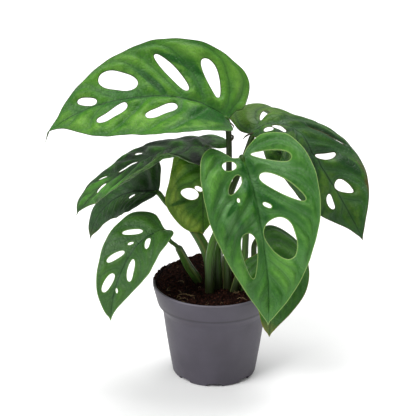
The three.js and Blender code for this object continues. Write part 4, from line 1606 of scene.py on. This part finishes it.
    def build_fibres(self, rng: np.random.Generator) -> bpy.types.Object:
        """Makes the loose fibres, and the bare roots at the front.

        Args:
            rng: Source of the draws.

        Returns:
            The finished piece.
        """
        strands = [self.fibre(place, rng) for place in self.scatter(rng, self.fibres)]
        for root in self.roots:
            line = np.array([(x, y, self.height(x, y) + self.root_lift)
                             for x, y in smooth_line(root, self.root_step)])
            strands.append((line, self.root_radius))
        vertices, faces = [], []
        for line, thick in strands:
            if len(line) > 2:
                add_strand(vertices, faces, line, thick, self.fibre_sides)
        return make_piece("peat_fibres", np.array(vertices), faces, None, (DryFibre().material(),))


@dataclass
class WitheredSheaths:
    """The dry brown ends of old sheaths, which curl from two petioles just under their blades.

    Each curl has a radius and a middle line.
    """

    sides: int = 6
    step: float = 0.4
    curls: tuple = (
        (0.8, ((12.6, 0.5, 258.6), (14.6, -2, 257.4), (16.6, -2.4, 255.8), (18.1, -2, 253.6),
               (17.6, -1.4, 252.4))),
        (1.1, ((14.2, 2.6, 244.6), (17.2, 2.2, 243.2), (17, 2.2, 240.4), (14.9, 2.6, 237))),
        (0.9, ((37.6, 21.4, 240.2), (32.6, 19.6, 238.8), (29.4, 18.8, 237), (27.2, 18.8, 234.2))),
    )

    def build(self) -> bpy.types.Object:
        """Makes the curls.

        Returns:
            The finished piece.
        """
        vertices, faces = [], []
        for thick, places in self.curls:
            add_strand(vertices, faces, smooth_line(places, self.step), thick, self.sides)
        skin = DryFibre("sheath", pale="#564c2c", dark="#26261a").material()
        return make_piece("withered_sheaths", np.array(vertices), faces, None, (skin,))


# ---------------------------------------------------------------- pot


@dataclass
class NurseryPot:
    """The thin tapered pot: flared band, rolled lip, slotted foot ring and drain holes.

    A pair of sizes is a radius and a height, unless its comment says something else.
    """

    height: float = 96.0
    rim: float = 60.0
    band_foot: tuple[float, float] = (55.6, 75.0)
    wall_top: tuple[float, float] = (50.5, 67.0)
    foot: tuple[float, float] = (41.5, 2.6)
    thick: float = 1.6
    lip: float = 2.4
    belly: float = 0.5                                      # how far the wall stands out in its middle
    over_wall: tuple[float, float] = (0.25, 0.6)            # out and up from the wall's top
    band_steps: tuple = ((-0.9, -1.0), (-0.25, -0.35),      # and from the band's foot, up its ledge
                         (0.0, 0.5), (0.1, 1.6), (0.55, 2.2))
    lip_foot: tuple[float, float] = (0.1, 3.2)              # in and down from the rim's top
    ring_inner: float = 33.0
    pad: float = 14.0
    groove: float = 3.0
    groove_sides: tuple[float, float] = (1.8, 1.4)          # slopes at the pad and at the foot ring
    floor: float = 4.6
    steps: tuple[int, int, int] = (6, 14, 12)               # round the foot, up the wall, over the lip
    slots: int = 8
    slot_width: float = 13.0
    slot_height: float = 3.4
    slot_start: float = 0.5                                 # how far inside the foot ring it begins
    drain_radius: float = 3.5
    drain_middle: float = 23.5
    drain_depth: float = 20.0
    drain_sides: int = 32
    turns: int = 360
    sharp: float = 38.0                                     # angle between faces that shows as an edge

    def profile(self) -> list[tuple[float, float]]:
        """Draws the section, from the middle of the underside round to that of the floor.

        Returns:
            Radii and heights in millimetres.
        """
        (band_r, band_z), (wall_r, wall_z), (foot_r, foot_z) = self.band_foot, self.wall_top, self.foot
        pad_side, ring_side = self.groove_sides
        corner_steps, wall_steps, lip_steps = self.steps
        underside = [(self.pad, 0), (self.pad + pad_side, self.groove),
                     (self.ring_inner - ring_side, self.groove), (self.ring_inner, 0.0)]
        corner = [(foot_r - foot_z + foot_z * math.sin(a), foot_z - foot_z * math.cos(a))
                  for a in np.linspace(0, math.pi / 2, corner_steps)[:-1]]
        wall = [(foot_r + (wall_r - foot_r) * t + self.belly * math.sin(math.pi * t),
                 foot_z + (wall_z - foot_z) * t) for t in np.linspace(0, 1, wall_steps)]
        tuck = (wall_r + self.over_wall[0], wall_z + self.over_wall[1])
        ledge = [(band_r + out, band_z + up) for out, up in self.band_steps]
        under_lip = (self.rim - self.lip_foot[0], self.height - self.lip_foot[1])
        half_lip = self.lip / 2
        lip = [(self.rim - half_lip + half_lip * math.cos(a), self.height - half_lip + half_lip * math.sin(a))
               for a in np.linspace(0, math.pi, lip_steps)]
        inner = [(band_r - self.thick, band_z), (wall_r - self.thick, wall_z),
                 (foot_r - self.thick, self.floor)]
        return [*underside, *corner, *wall, tuck, *ledge, under_lip, *lip, *inner]

    def raised(self, radius: float, z: float, turn: float) -> float:
        """Lifts the foot ring's lower face over each slot.

        Args:
            radius: Distance from the axis.
            z: Height before.
            turn: Angle round the pot.

        Returns:
            Height after.
        """
        pitch = 2 * math.pi / self.slots
        off = abs((turn + math.pi / 2 + pitch / 2) % pitch - pitch / 2) * radius
        if radius < self.ring_inner - self.slot_start or off > self.slot_width / 2:
            return z
        return max(z, self.slot_height)

    def build(self) -> bpy.types.Object:
        """Makes the pot and cuts its drain holes.

        Returns:
            The finished piece.
        """
        profile, n = self.profile(), self.turns
        vertices = [(0.0, 0.0, 0.0), (0.0, 0.0, self.floor)]
        vertices += [(radius * math.cos(turn), radius * math.sin(turn), self.raised(radius, z, turn))
                     for radius, z in profile for turn in full_turn(n)]
        last = 2 + (len(profile) - 1) * n
        faces = [(0, 2 + (j + 1) % n, 2 + j) for j in range(n)]
        faces += [(1, last + j, last + (j + 1) % n) for j in range(n)]
        faces += tube(2, len(profile), n)
        pot = make_piece("pot_shell", vertices, faces, "nursery_pot",
                         (MouldedPolypropylene().material(),))
        self.drill(pot)
        pot.data.set_sharp_from_angle(angle=math.radians(self.sharp))
        return pot

    def drill(self, pot: bpy.types.Object) -> None:
        """Cuts the drain holes through the floor, one in line with each slot.

        Args:
            pot: The pot's shell.
        """
        cutters, radius = bmesh.new(), self.drain_radius * MM
        for k in range(self.slots):
            turn = 2 * math.pi * k / self.slots - math.pi / 2
            spot = Vector((math.cos(turn), math.sin(turn), 0)) * self.drain_middle * MM
            made = bmesh.ops.create_cone(cutters, cap_ends=True, segments=self.drain_sides, radius1=radius,
                                         radius2=radius, depth=self.drain_depth * MM)
            bmesh.ops.translate(cutters, verts=made["verts"], vec=spot)
        mesh = bpy.data.meshes.new("drain_cutters")
        cutters.to_mesh(mesh)
        cutters.free()
        tool = bpy.data.objects.new("drain_cutters", mesh)
        bpy.context.scene.collection.objects.link(tool)
        cut = pot.modifiers.new("drains", "BOOLEAN")
        cut.object, cut.operation, cut.solver = tool, "DIFFERENCE", "EXACT"
        bpy.context.view_layer.update()
        drilled = bpy.data.meshes.new_from_object(pot.evaluated_get(bpy.context.evaluated_depsgraph_get()))
        pot.modifiers.remove(cut)
        pot.data = drilled
        bpy.data.objects.remove(tool)


# ---------------------------------------------------------------- stage


@dataclass
class Studio:
    """A pale floor, soft lights and the camera, in metres."""

    lens: float = 115.1
    sensor: float = 36.0
    place: tuple[float, float, float] = (-0.00606, -1.1835, 0.6376)
    pitch: float = 21.5          # degrees down from level
    room: float = 0.42
    reach: float = 8.0           # of the floor, wide enough to fill every view
    aim: tuple[float, float, float] = (0, 0, 0.18)
    lights: tuple = (("key_light", (-0.9, -0.7, 1.4), 30, 2.2),    # place, spread in degrees and power
                     ("top_light", (0.3, 0.5, 1.7), 40, 2.3))

    def build(self) -> None:
        """Makes the stage."""
        scene = bpy.context.scene
        scene.view_settings.view_transform = "Standard"
        scene.world = bpy.data.worlds.new("pale_room")
        scene.world.use_nodes = True
        tone, strength = scene.world.node_tree.nodes["Background"].inputs[:2]
        tone.default_value = (1, 1, 1, 1)
        strength.default_value = self.room
        camera = bpy.data.objects.new("camera", bpy.data.cameras.new("camera"))
        camera.data.lens, camera.data.sensor_width = self.lens, self.sensor
        camera.location = self.place
        camera.rotation_euler = (math.radians(90 - self.pitch), 0, 0)
        scene.collection.objects.link(camera)
        scene.camera = camera
        for name, place, spread, power in self.lights:
            light = bpy.data.objects.new(name, bpy.data.lights.new(name, "SUN"))
            light.data.angle, light.data.energy = math.radians(spread), power
            light.location = place
            light.rotation_euler = (Vector(self.aim) - Vector(place)).to_track_quat("-Z", "Y").to_euler()
            scene.collection.objects.link(light)
        self.build_floor()

    def build_floor(self) -> None:
        """Makes the pale floor."""
        r = self.reach
        mesh = bpy.data.meshes.new("floor")
        mesh.from_pydata([(-r, -r, 0), (r, -r, 0), (r, r, 0), (-r, r, 0)], [], [(0, 1, 2, 3)])
        mesh.materials.append(PaintedSweep().material())
        floor = bpy.data.objects.new("floor", mesh)
        bpy.context.scene.collection.objects.link(floor)


def main() -> None:
    """Builds the plant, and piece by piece."""
    logging.basicConfig(level=logging.INFO, format="%(message)s")
    Studio().build()
    skin = GreenStalk().material()
    for leaf in LEAVES:
        blade = Blade(leaf)
        blade.build()
        Petiole(leaf, blade.surface, skin).build()
    WitheredSheaths().build()
    rng = np.random.default_rng(SEED)
    soil = Soil()
    soil.build_bed()
    soil.build_crumbs(rng)
    soil.build_fibres(rng)
    NurseryPot().build()


if __name__ == "__main__":
    main()
